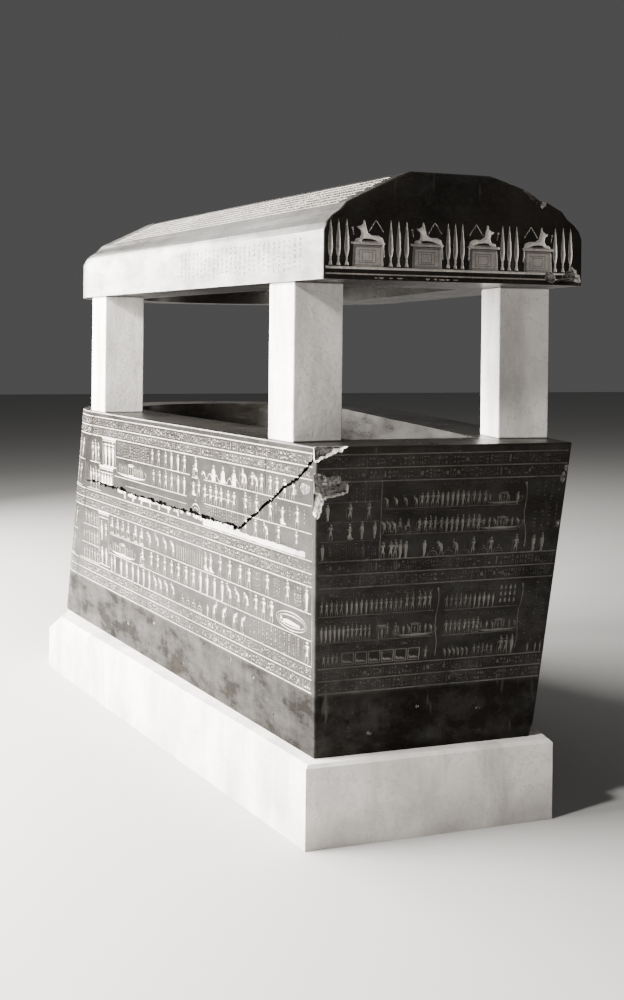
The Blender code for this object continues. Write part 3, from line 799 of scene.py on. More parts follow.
# %% Rows of strokes
MARKS = (
    [block(-0.42, -0.07, 0.42, 0.07)],
    [block(-0.08, -0.45, 0.08, 0.45)],
    [ribbon([(-0.35, -0.35), (0.35, 0.35)], 0.13)],
    [ribbon([(-0.40, -0.15), (0, 0.22), (0.40, -0.15)], 0.14)],
    [oval(0, 0, 0.26, 0.26, 7)],
    [ribbon(np.column_stack([np.linspace(-0.45, 0.45, 7), np.array([0, 1, 0, 1, 0, 1, 0]) * 0.18]), 0.11)],
    [block(-0.42, 0.12, 0.42, 0.26), block(-0.42, -0.26, 0.42, -0.12)],
    [arch(0, -0.2, 0.36, 0.42, 7)],
    [np.array([(-0.36, -0.3), (0.36, -0.3), (0.10, 0.35), (-0.05, 0.05)])],
    [block(-0.30, -0.4, -0.14, 0.4), block(0.14, -0.4, 0.30, 0.4)],
)


def stroke_row(rng, x0, x1, y0, y1, fine=1.0, stacks=(1, 2, 2, 3)):
    """A row of marks from x0 to x1 between two heights, stacked one to three to a place."""
    tall = y1 - y0
    parts = []
    x = x0
    while x < x1 - 0.3 * tall * fine:
        step = tall * rng.uniform(0.24, 0.52) * fine
        count = int(rng.choice(stacks))
        for level in range(count):
            y = y1 - tall * (level + 0.5) / count
            mark = MARKS[rng.integers(len(MARKS))]
            size = np.ptp(np.vstack(mark), axis=0)
            room = np.array([step * 0.80, tall / count * 0.80])
            stretch = np.minimum(room / np.maximum(size, 0.4), room.max() * 1.3)
            parts += [part * stretch + (x + step / 2, y) for part in mark]
        x += step
    return parts


def stroke_column(rng, x, y0, y1, wide):
    """A column of marks from y1 down to y0."""
    parts = []
    y = y1
    while y > y0 + wide * 0.3:
        step = wide * rng.uniform(0.55, 0.95)
        parts += set_down(MARKS[rng.integers(len(MARKS))], x, y - step / 2, wide * 0.78)
        y -= step
    return parts


print("kinds of mark:", len(MARKS))

# %% [markdown]
# A sheet holds the drawing of one face: its own outline first, then every shape with its depth and its
# finish. A shape that comes later lies over the ones before it, so the order is the order of cutting.

# %% A drawing sheet
class Sheet:
    """The shapes of one face, in the order in which they are laid down."""

    def __init__(self, outline, folds=()):
        self.shapes = [(outline, 0.0, PLAIN)] + [(fold, 0.0, PLAIN) for fold in folds]

    def add(self, parts, depth, finish=CARVED):
        """Lays shapes down; a pair of a tag and an outline is left standing, or cut fainter."""
        tagged = {"keep": (0.0, PLAIN), "faint": (depth, FAINT), "dim": (depth, DIM)}
        for part in parts:
            if isinstance(part, tuple):
                self.shapes.append((part[1], *tagged[part[0]]))
            else:
                self.shapes.append((part, depth, finish))


print("a new sheet holds", len(Sheet(block(0, 0, 1, 1)).shapes), "shape, its own edge")

# %% [markdown]
# The chest's plan at any height is a blend of two plans, the base's and the rim's, so its sides lean
# out as they rise. These functions give a point of the chest's skin from two parameters: how far round
# it lies, and its share of the height.

# %% The chest's skin
def head_curve(half, foot, start, depth, power, angle):
    """Rounded head in plan: x runs as a cosine and y as a sine, each raised to 2 over the power, and
    the half width grows in step with y."""
    cosine, sine = np.cos(angle), np.clip(np.sin(angle), 0, None)
    y = start + depth * sine ** (2 / power)
    x = -np.sign(cosine) * np.abs(cosine) ** (2 / power) * (half + SPREAD * (y - foot))
    return x, y


def chest_head(angle, share):
    """Point on the rounded head: the base's curve and the rim's, blended by the height."""
    x0, y0 = head_curve(BASE_HALF, BASE_FOOT, BASE_HEAD, BASE_DEPTH, HEAD_POWER_BASE, angle)
    x1, y1 = head_curve(RIM_HALF, 0.0, RIM_HEAD, RIM_DEPTH, HEAD_POWER_RIM, angle)
    return x0 + (x1 - x0) * share, y0 + (y1 - y0) * share + FOOT_EDGE, chest_low[2] + CHEST_TALL * share


def chest_side(back, share):
    """Point on the left long side, a flat face: back is the distance from the foot corner."""
    x = -(BASE_HALF + (RIM_HALF - BASE_HALF) * share) - SPREAD * back / SIDE_LONG
    return x, BASE_FOOT * (1 - share) + back / SIDE_LONG + FOOT_EDGE, chest_low[2] + CHEST_TALL * share


def chest_foot(across, share):
    """Point on the foot end, a flat face: across runs from 0 at its left corner to 1."""
    half = BASE_HALF + (RIM_HALF - BASE_HALF) * share
    return half * (2 * across - 1), BASE_FOOT * (1 - share) + FOOT_EDGE, chest_low[2] + CHEST_TALL * share


def side_end(share):
    """How far back the flat side runs before the head's rounding starts."""
    return SIDE_LONG * (BASE_HEAD - BASE_FOOT + (RIM_HEAD - BASE_HEAD + BASE_FOOT) * share)


def columns(*arrays):
    """Stacks x, y and z, stretched to one length, into rows of points."""
    return np.column_stack([np.broadcast_to(array, np.broadcast(*arrays).shape).ravel() for array in arrays])


def bend(start, corner, end, t):
    """A curve that leaves start toward corner and comes into end from it: the quadratic Bezier curve."""
    return (1 - t) ** 2 * start + 2 * t * (1 - t) * corner + t ** 2 * end


def mirrored(points):
    """The same points on the right side, in the opposite order."""
    return (points * MIRROR)[::-1]


def grid_outline(u, v):
    """The edge of a rectangle, from its samples along and up, counter-clockwise from the first corner."""
    return np.vstack([np.column_stack([u, np.zeros(len(u))]),
                      np.column_stack([np.full(len(v), u[-1]), v])[1:],
                      np.column_stack([u, np.full(len(u), v[-1])])[::-1][1:],
                      np.column_stack([np.full(len(v), u[0]), v])[::-1][1:-1]])


# A table of angle against length round the head, at about the middle of its height
fine_angle = np.linspace(0, math.pi, 2001)
fine_x, fine_y, _ = chest_head(fine_angle, 0.6)
fine_run = np.concatenate([[0], np.cumsum(np.hypot(np.diff(fine_x), np.diff(fine_y)))])
HEAD_WIDE = float(fine_run[-1])
HEAD_STEPS = 56
MIRROR = (-1, 1, 1)
TOP_SHARE = 1 - EDGE / CHEST_TALL
SHARES = np.unique(np.concatenate([np.linspace(0, 0.70, 24), np.linspace(0.70, TOP_SHARE, 44)]))
BACKS = np.unique(np.concatenate([np.linspace(EDGE, 0.30, 50), np.linspace(0.30, 1.0, 20)]))
ACROSS = np.unique(np.concatenate([np.linspace(EDGE / 0.8, 0.26, 42), np.linspace(0.26, 0.86, 12),
                                   np.linspace(0.86, 1 - EDGE / 0.8, 20)]))
CORNER_TURN = np.linspace(0, 1, 6)[1:-1]
print("head", round(HEAD_WIDE, 3), "m round")


def side_backs(share):
    """The side's sample distances at a height: dense by the foot corner, stretched to the side's end."""
    return np.interp(BACKS, (EDGE, 0.30, 1.0), (EDGE, 0.30, side_end(share)))


def head_angles():
    """Angles of the head's upright lines."""
    return np.interp(np.linspace(0, HEAD_WIDE, HEAD_STEPS + 1), fine_run, fine_angle)


def chest_loop(share, inset=0.0):
    """One level loop round the chest, clockwise from above, from the foot corner up the left side."""
    left = columns(*chest_side(side_backs(share), share))
    arc = columns(*chest_head(head_angles(), share))[1:-1]
    foot = columns(*chest_foot(ACROSS, share))
    turn = bend(foot[0], np.array(chest_foot(0.0, share)), left[0], CORNER_TURN[:, None])
    loop = np.vstack([left, arc, mirrored(left), mirrored(turn), foot[::-1], turn])
    if inset:
        along = np.roll(loop, -1, axis=0) - np.roll(loop, 1, axis=0)
        along /= np.linalg.norm(along, axis=1, keepdims=True)
        loop = loop + np.column_stack([along[:, 1], -along[:, 0], np.zeros(len(loop))]) * inset
    return loop


print("a loop round the rim:", len(chest_loop(1.0)), "points")

# %% [markdown]
# The long side is laid out in picture order, head at the left and foot corner at the right. Three
# framed bands of signs run its length, with two fields of figures between them, in three rows each.
# Places are given in steps of the layout drawing, x to the right and y down, because they were read
# from the picture that way; one function turns them into metres.

# %% Layout of the long side
SIDE_STEP = 0.001015
SIDE_ROW = 905.0
SIDE_ORIGIN = 2.02
SIDE_INWARD = np.array([0.990, 0.133, 0.058])
RULE, SIGN, FIGURE, CRACK = 0.0022, 0.0018, 0.0028, 0.011
LIP, HOLE, PIT = 0.0025, 0.016, 0.0025
BAND_RULE, BASE_RULE, THIN_RULE = 0.0034, 0.0028, 0.0024
SIDE_BANDS = ((20, 58, 95), (328, 365, 403), (637, 675, 715))


def side_xy(x, y):
    """Metres on the flattened side, from the layout drawing's steps."""
    return x * SIDE_STEP, (1 - y / SIDE_ROW) * CHEST_TALL


def side_start(y):
    """Where the flat side begins at that height, in layout steps: the head's rounding cuts it aslant."""
    return (SIDE_ORIGIN - side_end(1 - y / SIDE_ROW)) / SIDE_STEP + 3


def side_place(u, v, down):
    """Point on the left side: u counts from the head toward the foot, v up, down into the stone."""
    return columns(*chest_side(SIDE_ORIGIN - u, v / CHEST_TALL)) + down[:, None] * SIDE_INWARD


def side_outline(top):
    """The side's edge: base, foot corner, rim and head, with the same samples as its neighbours."""
    base = np.column_stack([SIDE_ORIGIN - side_backs(0.0)[::-1], np.zeros(len(BACKS))])
    foot = np.column_stack([np.full(len(SHARES), SIDE_ORIGIN - EDGE), SHARES * CHEST_TALL])[1:]
    rim = np.column_stack([SIDE_ORIGIN - side_backs(top), np.full(len(BACKS), top * CHEST_TALL)])[1:]
    away = np.column_stack([SIDE_ORIGIN - side_end(SHARES), SHARES * CHEST_TALL])[::-1][1:-1]
    return np.vstack([base, foot, rim, away])


def rows_of(sheet, xy, base, top, entries, size=1.0, slim=1.0):
    """Figures standing on a line, as (kind, places) in layout steps.

    A kind is a figure's name, then :1 to :4 for its head and - where it faces right."""
    low = xy(0, base)[1]
    tall = (xy(0, top)[1] - low) * size
    count = 0
    for kind, places in entries:
        for x in places:
            name, _, head_kind = kind.rstrip("-").partition(":")
            figure = FIGURES[name](int(head_kind or count % 5))
            sheet.add(set_down(figure, xy(x, 0)[0], low, tall, kind.endswith("-"), slim), FIGURE)
            count += 1


def side_rows(sheet, base, top, entries, size=1.0, slim=1.5):
    """Figures on the long side, which are drawn wide, as the picture shows them foreshortened."""
    rows_of(sheet, side_xy, base, top, entries, size, slim)


def put(sheet, xy, parts, x, y, size, slim=1.0):
    """One drawn thing, standing on a place of the layout."""
    u, low = xy(x, y)
    sheet.add(set_down(parts, u, low, size, slim=slim), FIGURE)


def sign_row(sheet, xy, rng, x0, x1, y0, y1, finish=CARVED):
    """A row of strokes from x0 to x1, between a lower and an upper line of the layout."""
    u0, low = xy(x0, y0)
    u1, high = xy(x1, y1)
    sheet.add(stroke_row(rng, u0, u1, low, high), SIGN, finish)


def labels(sheet, rng, places, top, tall, wide):
    """A short column of strokes over each figure of the long side, hung from one line."""
    for x in places:
        u, high = side_xy(x, top)
        sheet.add(stroke_column(rng, u, high - tall, high, wide), SIGN)


def ragged_oval(rng, wide, tall, count, low, high):
    """An ellipse whose points are each drawn in or out by a random share."""
    return oval(0, 0, wide, tall, count) * rng.uniform(low, high, (count, 1))


def side_bands(sheet, xy, start, x1, rng, levels=SIDE_BANDS, finish=CARVED):
    """The three framed bands: rules, and two rows of strokes between them."""
    for lines in levels:
        x0 = start(lines[1])
        for y in lines:
            u0, v = xy(start(y), y)
            u1, _ = xy(x1, y)
            sheet.add([rail(u0, u1, v, BAND_RULE)], RULE)
        for upper, lower in zip(lines, lines[1:]):
            u0, high = xy(x0 + 4, upper)
            u1, low = xy(x1 - 4, lower)
            sheet.add(stroke_row(rng, u0, u1, low + 0.0050, high - 0.0050), SIGN, finish)


def line_on(sheet, xy, x0, x1, y, wide=BASE_RULE):
    """A base line that figures stand on."""
    u0, v = xy(x0, y)
    u1, _ = xy(x1, y)
    sheet.add([rail(u0, u1, v - wide / 2, wide)], RULE)


def text_block(sheet, xy, rng, x0, x1, y0, y1, wide, ruled=True, finish=CARVED):
    """Columns of strokes with thin upright rules between them."""
    u0, high = xy(x0, y0)
    u1, low = xy(x1, y1)
    count = max(int(round((u1 - u0) / wide)), 1)
    pitch = (u1 - u0) / count
    for index in range(count):
        middle = u0 + (index + 0.5) * pitch
        sheet.add(stroke_column(rng, middle, low, high, min(pitch * 0.8, 0.016)), SIGN, finish)
        if ruled and index:
            x = u0 + index * pitch
            sheet.add([block(x - 0.0007, low, x + 0.0007, high)], RULE, finish)


def shrine_panel(sheet, xy, x0, x1, y0, y1):
    """A framed panel with a cornice and an inner frame."""
    u0, high = xy(x0, y0)
    u1, low = xy(x1, y1)
    for grow in (0.0, 0.010):
        sheet.add(hollow_frame(u0 + grow, low, u1 - grow, high - grow * 1.4, 0.0035), RULE)
    cornice = [(u0 - 0.008, high + 0.012), (u0, high + 0.003), (u1, high + 0.003), (u1 + 0.008, high + 0.012)]
    sheet.add([cornice], RULE)


def slack_rope(x0, x1, y, waves):
    """A slack rope hung from figure to figure, dipping between them."""
    t = np.linspace(0, 1, waves * 6 + 1)
    y = y - 0.004 * np.abs(np.sin(t * waves * math.pi))
    return [ribbon(np.column_stack([x0 + (x1 - x0) * t, y]), 0.0026)]


print("one layout step on the long side is", SIDE_STEP, "m")

# %% [markdown]
# The rows follow, figure by figure, as they stand in the picture. Above the middle band are walking
# figures with a boat, a snake and a seated figure on a mound, and below it long processions.

# %% The figures of the long side
def lay_side_upper(sheet, rng):
    """The three rows of figures above the middle band."""
    xy = side_xy
    shrine_panel(sheet, xy, 180, 335, 108, 212)
    shrine_panel(sheet, xy, 140, 300, 224, 284)
    side_rows(sheet, 210, 118, [("wrap", (215, 258, 300))])
    side_rows(sheet, 282, 234, [("crouch", (170, 205, 240, 272))])
    line_on(sheet, xy, 340, 1080, 163)
    line_on(sheet, xy, 1200, 1965, 168)
    text_block(sheet, xy, rng, 345, 700, 102, 158, 0.024)
    side_rows(sheet, 163, 102, [("walk", (730, 793, 860)), ("wrap", (915, 975)), ("walk:1", (1035,))])
    side_rows(sheet, 168, 104, [("crouch", (1280, 1355, 1440)), ("walk", (1505, 1575, 1640, 1700)),
                                ("bow", (1525, 1605)), ("walk:1", (1745, 1795, 1850))], 0.95)
    side_rows(sheet, 172, 106, [("seat:2", (1130,))], slim=1.6)
    side_rows(sheet, 232, 178, [("kneel:1", (1112,)), ("walk:3", (1158,))], slim=1.6)
    put(sheet, xy, mound(1.1, 0.85), 1130, 288, 0.060, 1.2)
    u0, v = xy(1185, 158)
    sheet.add(snake(u0, xy(1500, 158)[0], v + 0.004, 0.020, 6), FIGURE)
    line_on(sheet, xy, 315, 1050, 240)
    line_on(sheet, xy, 1200, 1965, 248)
    put(sheet, xy, boat(4.9, 6), 502, 234, 0.064)
    side_rows(sheet, 238, 176, [("walk", (740, 800, 860, 915)), ("wrap", (975, 1030))])
    labels(sheet, rng, (770, 830, 888, 945, 1003), 178, 0.030, 0.012)
    side_rows(sheet, 246, 180, [("walk", (1208, 1255, 1300, 1340, 1395, 1440)),
                                ("walk:2-", (1525, 1605, 1700)),
                                ("kneel", (1780,)), ("walk:3", (1875,))], 0.95)
    u0, v = xy(1205, 214)
    sheet.add(slack_rope(u0, xy(1445, 214)[0], v, 6), FIGURE)
    labels(sheet, rng, (1560, 1650, 1740, 1830, 1920), 182, 0.045, 0.014)
    line_on(sheet, xy, 440, 1050, 268, 0.0016)
    text_block(sheet, xy, rng, 1200, 1480, 252, 284, 0.018, False)
    side_rows(sheet, 308, 252, [("walk:4", (1525,)), ("walk-", (1597,)), ("bow", (1675,)),
                                ("walk:1", (1755, 1870))])
    side_rows(sheet, 322, 290, [("crouch", (430, 520, 610, 700, 790, 880, 970))], 0.9)


def lay_side_start(sheet, xy):
    """Figures in the wedge of flat face that lies between the shrines and the head's rounding."""
    for base, top in ((205, 108), (318, 218), (478, 412), (558, 488), (628, 566)):
        first = side_start(base) + 34
        last = 92 if base > 400 else 128
        places = tuple(np.arange(last, first, -34.0))
        line_on(sheet, xy, side_start(base) + 4, last + 20, base)
        rows_of(sheet, xy, base, top, [("walk", places[::2]), ("wrap", places[1::2])], 0.85)


def lay_side_lower(sheet, rng):
    """The three rows of figures below the middle band."""
    xy = side_xy
    line_on(sheet, xy, 250, 1965, 481)
    line_on(sheet, xy, 190, 1965, 560)
    shrine_panel(sheet, xy, 110, 240, 412, 625)
    side_rows(sheet, 520, 430, [("wrap:2", (150,)), ("walk:1", (200,))], 0.8)
    side_rows(sheet, 622, 530, [("wrap:1", (150,)), ("wrap", (200,))], 0.8)
    side_rows(sheet, 478, 410, [("seat", (275, 340, 400, 460, 540, 605)), ("bow", (690, 770, 848, 920))])
    for x in range(960, 1200, 20):
        u0, low = xy(x, 474)
        sheet.add([ribbon([(u0, low), (u0, low + 0.050)], (0.004, 0.006))], FIGURE)
    side_rows(sheet, 478, 412, [("kneel:2", (1210, 1252)), ("walk", (1330, 1405, 1485, 1550))])
    for x in (1605, 1745, 1880):
        text_block(sheet, xy, rng, x - 26, x + 26, 414, 472, 0.018)
    side_rows(sheet, 478, 412, [("walk:1", (1680,)), ("walk:2", (1815,)), ("wrap", (1935,))])
    put(sheet, xy, boat(4.3, 4), 395, 556, 0.064)
    side_rows(sheet, 558, 488, [("seat", (610,)), ("walk", (705, 770, 838, 905, 970, 1040, 1105)),
                                ("wrap", (1165, 1222, 1283, 1345)), ("bow", (1405, 1468, 1535)),
                                ("walk:1", (1600, 1655, 1710))])
    u, v = xy(1840, 527)
    for grow in (0.0, 0.010):
        sheet.add(frame_of(oval(u, v, 0.100 - grow, 0.029 - grow, 28),
                           oval(u, v, 0.096 - grow, 0.0255 - grow, 28)), FIGURE)
    lying = [(u - 0.060, v - 0.006), (u - 0.02, v - 0.004), (u + 0.055, v - 0.008)]
    sheet.add([ribbon(lying, (0.010, 0.014, 0.008)), oval(u - 0.068, v + 0.001, 0.008)], FIGURE)
    side_rows(sheet, 632, 566, [("wrap", (262, 300, 375, 438, 505, 565, 622, 682)),
                                ("bow", (745, 795, 855, 917)),
                                ("bow-", (1280, 1355, 1440, 1500)), ("walk", (1940,))])
    for x in (1005, 1055, 1105, 1158):
        put(sheet, xy, mound(0.85, 0.9), x, 632, 0.048)
    side_rows(sheet, 632, 590, [("wrap", (1225,))])
    text_block(sheet, xy, rng, 1545, 1900, 566, 632, 0.030)


print("rows are laid out on a side", round(float(side_xy(0, 0)[1]), 3), "m tall")

# %% [markdown]
# The long break is drawn too, as a narrow ragged band that sinks four times as deep as a figure. Its
# walls are upright, and they and its bottom are laid near-black as painted shade, which reads as a crack
# without a true gap in the stone. Round it lie holes, darkened the same way, spalls along its lower lip,
# and a shallow pale strip below the seam toward the foot.

# %% The breaks, and both long sides
def lay_side_breaks(sheet, rng):
    """The long break: a ragged seam with holes, both darkened as painted shade, then a crack climbing to the
    foot corner.
    """
    xy = side_xy
    seam = np.array([(-80, 294), (0, 293), (110, 286), (240, 291), (350, 288), (520, 294), (700, 292),
                     (880, 296), (1060, 293), (1240, 297), (1400, 294), (1480, 298), (1525, 275),
                     (1600, 235), (1650, 208), (1700, 185), (1800, 130), (1870, 105), (1925, 70),
                     (1975, 36)], float)
    x = np.arange(-60, 1975, 7.0)
    y = np.interp(x, seam[:, 0], seam[:, 1]) + rng.normal(0, 2.0, len(x))
    wide = np.where(x < 340, 4.0, np.where(x < 1480, 3.5, 8.5)) + rng.uniform(0, 3.0, len(x))
    for start in np.arange(350, 1480, 58.0):
        run = np.arange(start, start + rng.uniform(34, 74), 8.0)
        low = np.interp(run, seam[:, 0], seam[:, 1]) + 5 + rng.normal(0, 1.5, len(run))
        u, v = xy(run, low)
        lip = ribbon(np.column_stack([u, v - 0.003]), rng.uniform(6, 15, len(run)) * SIDE_STEP)
        sheet.add([lip], LIP)
    # Painted shade: the seam's walls and bottom are laid near-black.
    sheet.add([ribbon(np.column_stack(xy(x, y)), wide * SIDE_STEP)], CRACK, DEEP_SHADE)
    # Painted shade: each hole is laid near-black.
    for hole in np.concatenate([rng.uniform(380, 1470, 24), [60, 150, 210, 300]]):
        middle = np.interp(hole, seam[:, 0], seam[:, 1]) + rng.uniform(-6, 2)
        wide, tall = rng.uniform(13, 30) * SIDE_STEP, rng.uniform(5, 10) * SIDE_STEP
        sheet.add([ragged_oval(rng, wide, tall, 11, 0.6, 1.3) + xy(hole, middle)], HOLE, DEEP_SHADE)
    x = np.arange(1190, 1930, 16.0)
    upper = np.column_stack(xy(x, 308 + rng.normal(0, 1.3, len(x))))
    lower = np.column_stack(xy(x, 324 + rng.normal(0, 0.8, len(x))))
    sheet.add([np.vstack([lower, upper[::-1]])], 0.0016)
    # Painted shade: this short crack is laid near-black too.
    short = np.array([(1668, 50), (1671, 75), (1665, 100), (1670, 125), (1667, 145)], float)
    sheet.add([ribbon(np.column_stack(xy(short[:, 0], short[:, 1])), 0.0035)], 0.004, DEEP_SHADE)
    for x0, y0, wide, tall in ((722, 755, 13, 8), (1580, 760, 9, 7), (1410, 740, 9, 9), (440, 812, 12, 9),
                               (850, 810, 8, 6), (1920, 125, 34, 20), (1860, 140, 12, 9), (1000, 850, 10, 6),
                               (1730, 842, 7, 5)):
        edge = ragged_oval(rng, wide * SIDE_STEP, tall * SIDE_STEP, 13, 0.72, 1.2)
        sheet.add([edge + xy(x0, y0)], PIT, BROKEN)


def scatter_near(rng, x0, x1, y0, y1, pitch=0.0055):
    """Loose extra points, so that a broken corner has faces enough to be ragged."""
    x, y = np.meshgrid(np.arange(x0, x1, pitch), np.arange(y0, y1, pitch))
    points = np.column_stack([x.ravel(), y.ravel()])
    return points + rng.uniform(-0.3, 0.3, points.shape) * pitch


def make_side(seed, broken):
    """One long side. The right one mirrors it, with other signs and without the break."""
    rng = np.random.default_rng(seed)
    sheet = Sheet(side_outline(TOP_SHARE))
    side_bands(sheet, side_xy, side_start, 1968, rng)
    for upper, lower in ((95, 328), (403, 637)):
        u, high = side_xy(1970, upper)
        low = side_xy(1970, lower)[1]
        sheet.add([block(u - 0.002, low, u + 0.002, high)], RULE)
    lay_side_start(sheet, side_xy)
    lay_side_upper(sheet, rng)
    lay_side_lower(sheet, rng)
    scatter = scatter_near(rng, 1.80, 2.005, 0.70, 0.905)
    if broken:
        lay_side_breaks(sheet, rng)
    return carve(sheet.shapes, side_place, scatter, mirror=not broken)


left_side = make_side(7, True)
right_side = make_side(19, False)
print("left side", len(left_side[1]), "right side", len(right_side[1]), "triangles")

# %% [markdown]
# The foot end carries the finest work: an upper field with one large panel, and a lower field with
# two, all in rows of small figures towing boats, each closed by a tall wavy staff. The same helpers
# draw it from its own layout, which is finer: one step is about half a millimetre.

# %% Layout of the foot end
FOOT_WIDE, FOOT_TALL = 0.772, 0.9286
FOOT_STEP = FOOT_WIDE / 1400
FOOT_ROW = 1608.0
FOOT_INWARD = np.array([0.0, 0.990, 0.143])
FOOT_BANDS = ((42, 110, 178), (582, 652, 720), (1137, 1203, 1270))


def foot_xy(x, y):
    """Metres on the flattened foot end."""
    return x * FOOT_STEP, (1 - y / FOOT_ROW) * FOOT_TALL


def foot_place(u, v, down):
    """Point on the foot end: u from its left corner, v up its slope, down into the stone."""
    return columns(*chest_foot(u / FOOT_WIDE, v / FOOT_TALL)) + down[:, None] * FOOT_INWARD


def span(start, end, step):
    """Evenly spaced places from start to end."""
    return tuple(np.arange(start, end + 1e-6, step))


def wavy_staff(sheet, x0, x1, y0, y1):
    """A tall staff that ripples down the face, with a thick upper end."""
    t = np.linspace(0, 1, 25)
    u, v = foot_xy(x0 + (x1 - x0) * t + 7 * np.sin(t * 3.0 * math.pi), y0 + (y1 - y0) * t)
    widths = np.interp(t, (0, 0.06, 1), (0.0070, 0.0024, 0.0030))
    sheet.add([ribbon(np.column_stack([u, v]), widths)], FIGURE)


def lay_foot_upper(sheet, rng):
    """The left panel and the large main panel."""
    xy = foot_xy
    text_block(sheet, xy, rng, 160, 340, 184, 276, 0.022, True, FAINT)
    line_on(sheet, xy, 15, 340, 280, 0.002)
    rows_of(sheet, xy, 376, 290, [("wrap", (62,)), ("walk:2", (182,)), ("walk:1", (285,))])
    line_on(sheet, xy, 15, 340, 380, 0.002)
    rows_of(sheet, xy, 474, 390, [("walk", (80,)), ("kneel:2", (182,)), ("wrap", (248, 318))])
    line_on(sheet, xy, 15, 340, 478, 0.002)
    text_block(sheet, xy, rng, 60, 340, 484, 576, 0.020, True, FAINT)
    rows_of(sheet, xy, 576, 492, [("wrap", (36,))])
    u, high = xy(350, 184)
    sheet.add([block(u - 0.001, xy(350, 580)[1], u + 0.001, high)], RULE)
    for y in (320, 454):
        line_on(sheet, xy, 360, 1130, y, THIN_RULE)
    rows_of(sheet, xy, 318, 256, [("bow", (380, 430, 485, 540)), ("wrap", (1118,))])
    rows_of(sheet, xy, 318, 244, [("walk", (572, 602, 632, 660)), ("wrap", (686, 715, 744, 772, 802)),
                                  ("walk:1", (832, 866, 896, 930))], slim=0.85)
    put(sheet, xy, boat(2.6, 2), 1040, 317, 0.044)
    u, high = xy(365, 190)
    sheet.add(stroke_row(rng, u, xy(1120, 190)[0], high - 0.012, high), SIGN, FAINT)
    rows_of(sheet, xy, 452, 375, [("bow", (370, 398, 425)), ("seat", (455, 500))])
    rows_of(sheet, xy, 452, 374, [("walk", (565, 600, 628, 655, 690)), ("wrap", (720, 750, 780, 812)),
                                  ("walk:3", (845, 875, 905))], slim=0.85)
    u, v = xy(560, 402)
    sheet.add(slack_rope(u, xy(925, 402)[0], v, 12), FIGURE)
    put(sheet, xy, boat(2.9, 3), 1035, 451, 0.048)
    u, v = xy(365, 340)
    sheet.add(stroke_row(rng, u, xy(1120, 340)[0], v - 0.010, v + 0.002), SIGN, FAINT)
    rows_of(sheet, xy, 580, 492, [("walk", (368, 412, 438)), ("wrap", (465, 497, 602)), ("bow", (698, 787)),
                                  ("walk:1", (885, 990)), ("walk:2", (1140,)), ("wrap", (1245, 1297))])
    for x in (650, 740, 835, 945, 1035):
        put(sheet, xy, mound(0.95, 0.85), x, 580, 0.036)
    wavy_staff(sheet, 1160, 1190, 205, 552)
    text_block(sheet, xy, rng, 1215, 1380, 200, 470, 0.024, False, FAINT)


def boxes_in_row(sheet, rng):
    """Six framed boxes, with a lying figure and a few strokes in each."""
    for x in range(152, 152 + 6 * 78, 78):
        u0, high = foot_xy(x, 1058)
        u1, low = foot_xy(x + 72, 1125)
        sheet.add(hollow_frame(u0, low, u1, high, 0.0030), RULE)
        middle, body = (u0 + u1) / 2, low + 0.008
        lying = [(u0 + 0.006, body), (middle, body + 0.002), (u1 - 0.006, body)]
        sheet.add([ribbon(lying, (0.005, 0.008, 0.004)), oval(u0 + 0.007, body + 0.005, 0.0035)], FIGURE)
        sheet.add(stroke_row(rng, u0 + 0.003, u1 - 0.003, high - 0.014, high - 0.004), SIGN, FAINT)


def lay_foot_lower(sheet, rng):
    """The two lower panels, with the row of six boxes under the left one."""
    xy = foot_xy
    for y in (864, 1000):
        line_on(sheet, xy, 15, 680, y, THIN_RULE)
    rows_of(sheet, xy, 862, 788, [("walk", span(35, 150, 28)), ("wrap", span(175, 290, 28)),
                                  ("walk:1", span(317, 485, 28))], slim=0.72)
    rows_of(sheet, xy, 862, 770, [("walk:2", (520, 555)), ("walk", (595, 625)), ("walk:3", (655,))],
            slim=0.80)
    sign_row(sheet, xy, rng, 25, 670, 772, 742, FAINT)
    rows_of(sheet, xy, 998, 918, [("wrap", span(35, 160, 25)), ("walk", span(185, 318, 25)),
                                  ("walk:1", (415, 462))], slim=0.68)
    put(sheet, xy, shrine(0.9, 1.6, 1), 382, 998, 0.026)
    put(sheet, xy, boat(2.7, 3), 575, 997, 0.050)
    sign_row(sheet, xy, rng, 25, 470, 905, 880, FAINT)
    boxes_in_row(sheet, rng)
    rows_of(sheet, xy, 1128, 1062, [("walk", (50, 75, 100, 125)), ("walk:2", (650,))])
    sign_row(sheet, xy, rng, 25, 620, 1046, 1016, FAINT)
    wavy_staff(sheet, 700, 706, 748, 1112)
    for y in (868, 1004):
        line_on(sheet, xy, 745, 1195, y, THIN_RULE)
    rows_of(sheet, xy, 866, 792, [("walk", span(757, 900, 28)), ("wrap", span(925, 1060, 28))], slim=0.72)
    for y in (778, 812, 848):
        rows_of(sheet, xy, y, y - 28, [("crouch", (1082, 1110, 1138, 1166))])
    sign_row(sheet, xy, rng, 755, 1060, 776, 748, FAINT)
    rows_of(sheet, xy, 1003, 925, [("walk:1", span(765, 850, 27)), ("walk", span(876, 957, 27))], slim=0.70)
    put(sheet, xy, boat(3.2, 3), 1085, 1002, 0.046)
    rows_of(sheet, xy, 1128, 1068, [("bow", span(770, 930, 27)), ("walk", span(950, 1075, 27))], slim=0.85)
    rows_of(sheet, xy, 1128, 1040, [("walk:2", (1115, 1150)), ("wrap", (1185,))])
    sign_row(sheet, xy, rng, 755, 1190, 910, 886, FAINT)
    wavy_staff(sheet, 1212, 1206, 750, 1102)
    text_block(sheet, xy, rng, 1230, 1380, 740, 1060, 0.024, False, FAINT)
    rows_of(sheet, xy, 1130, 1082, [("wrap", (1290, 1340, 1372))])


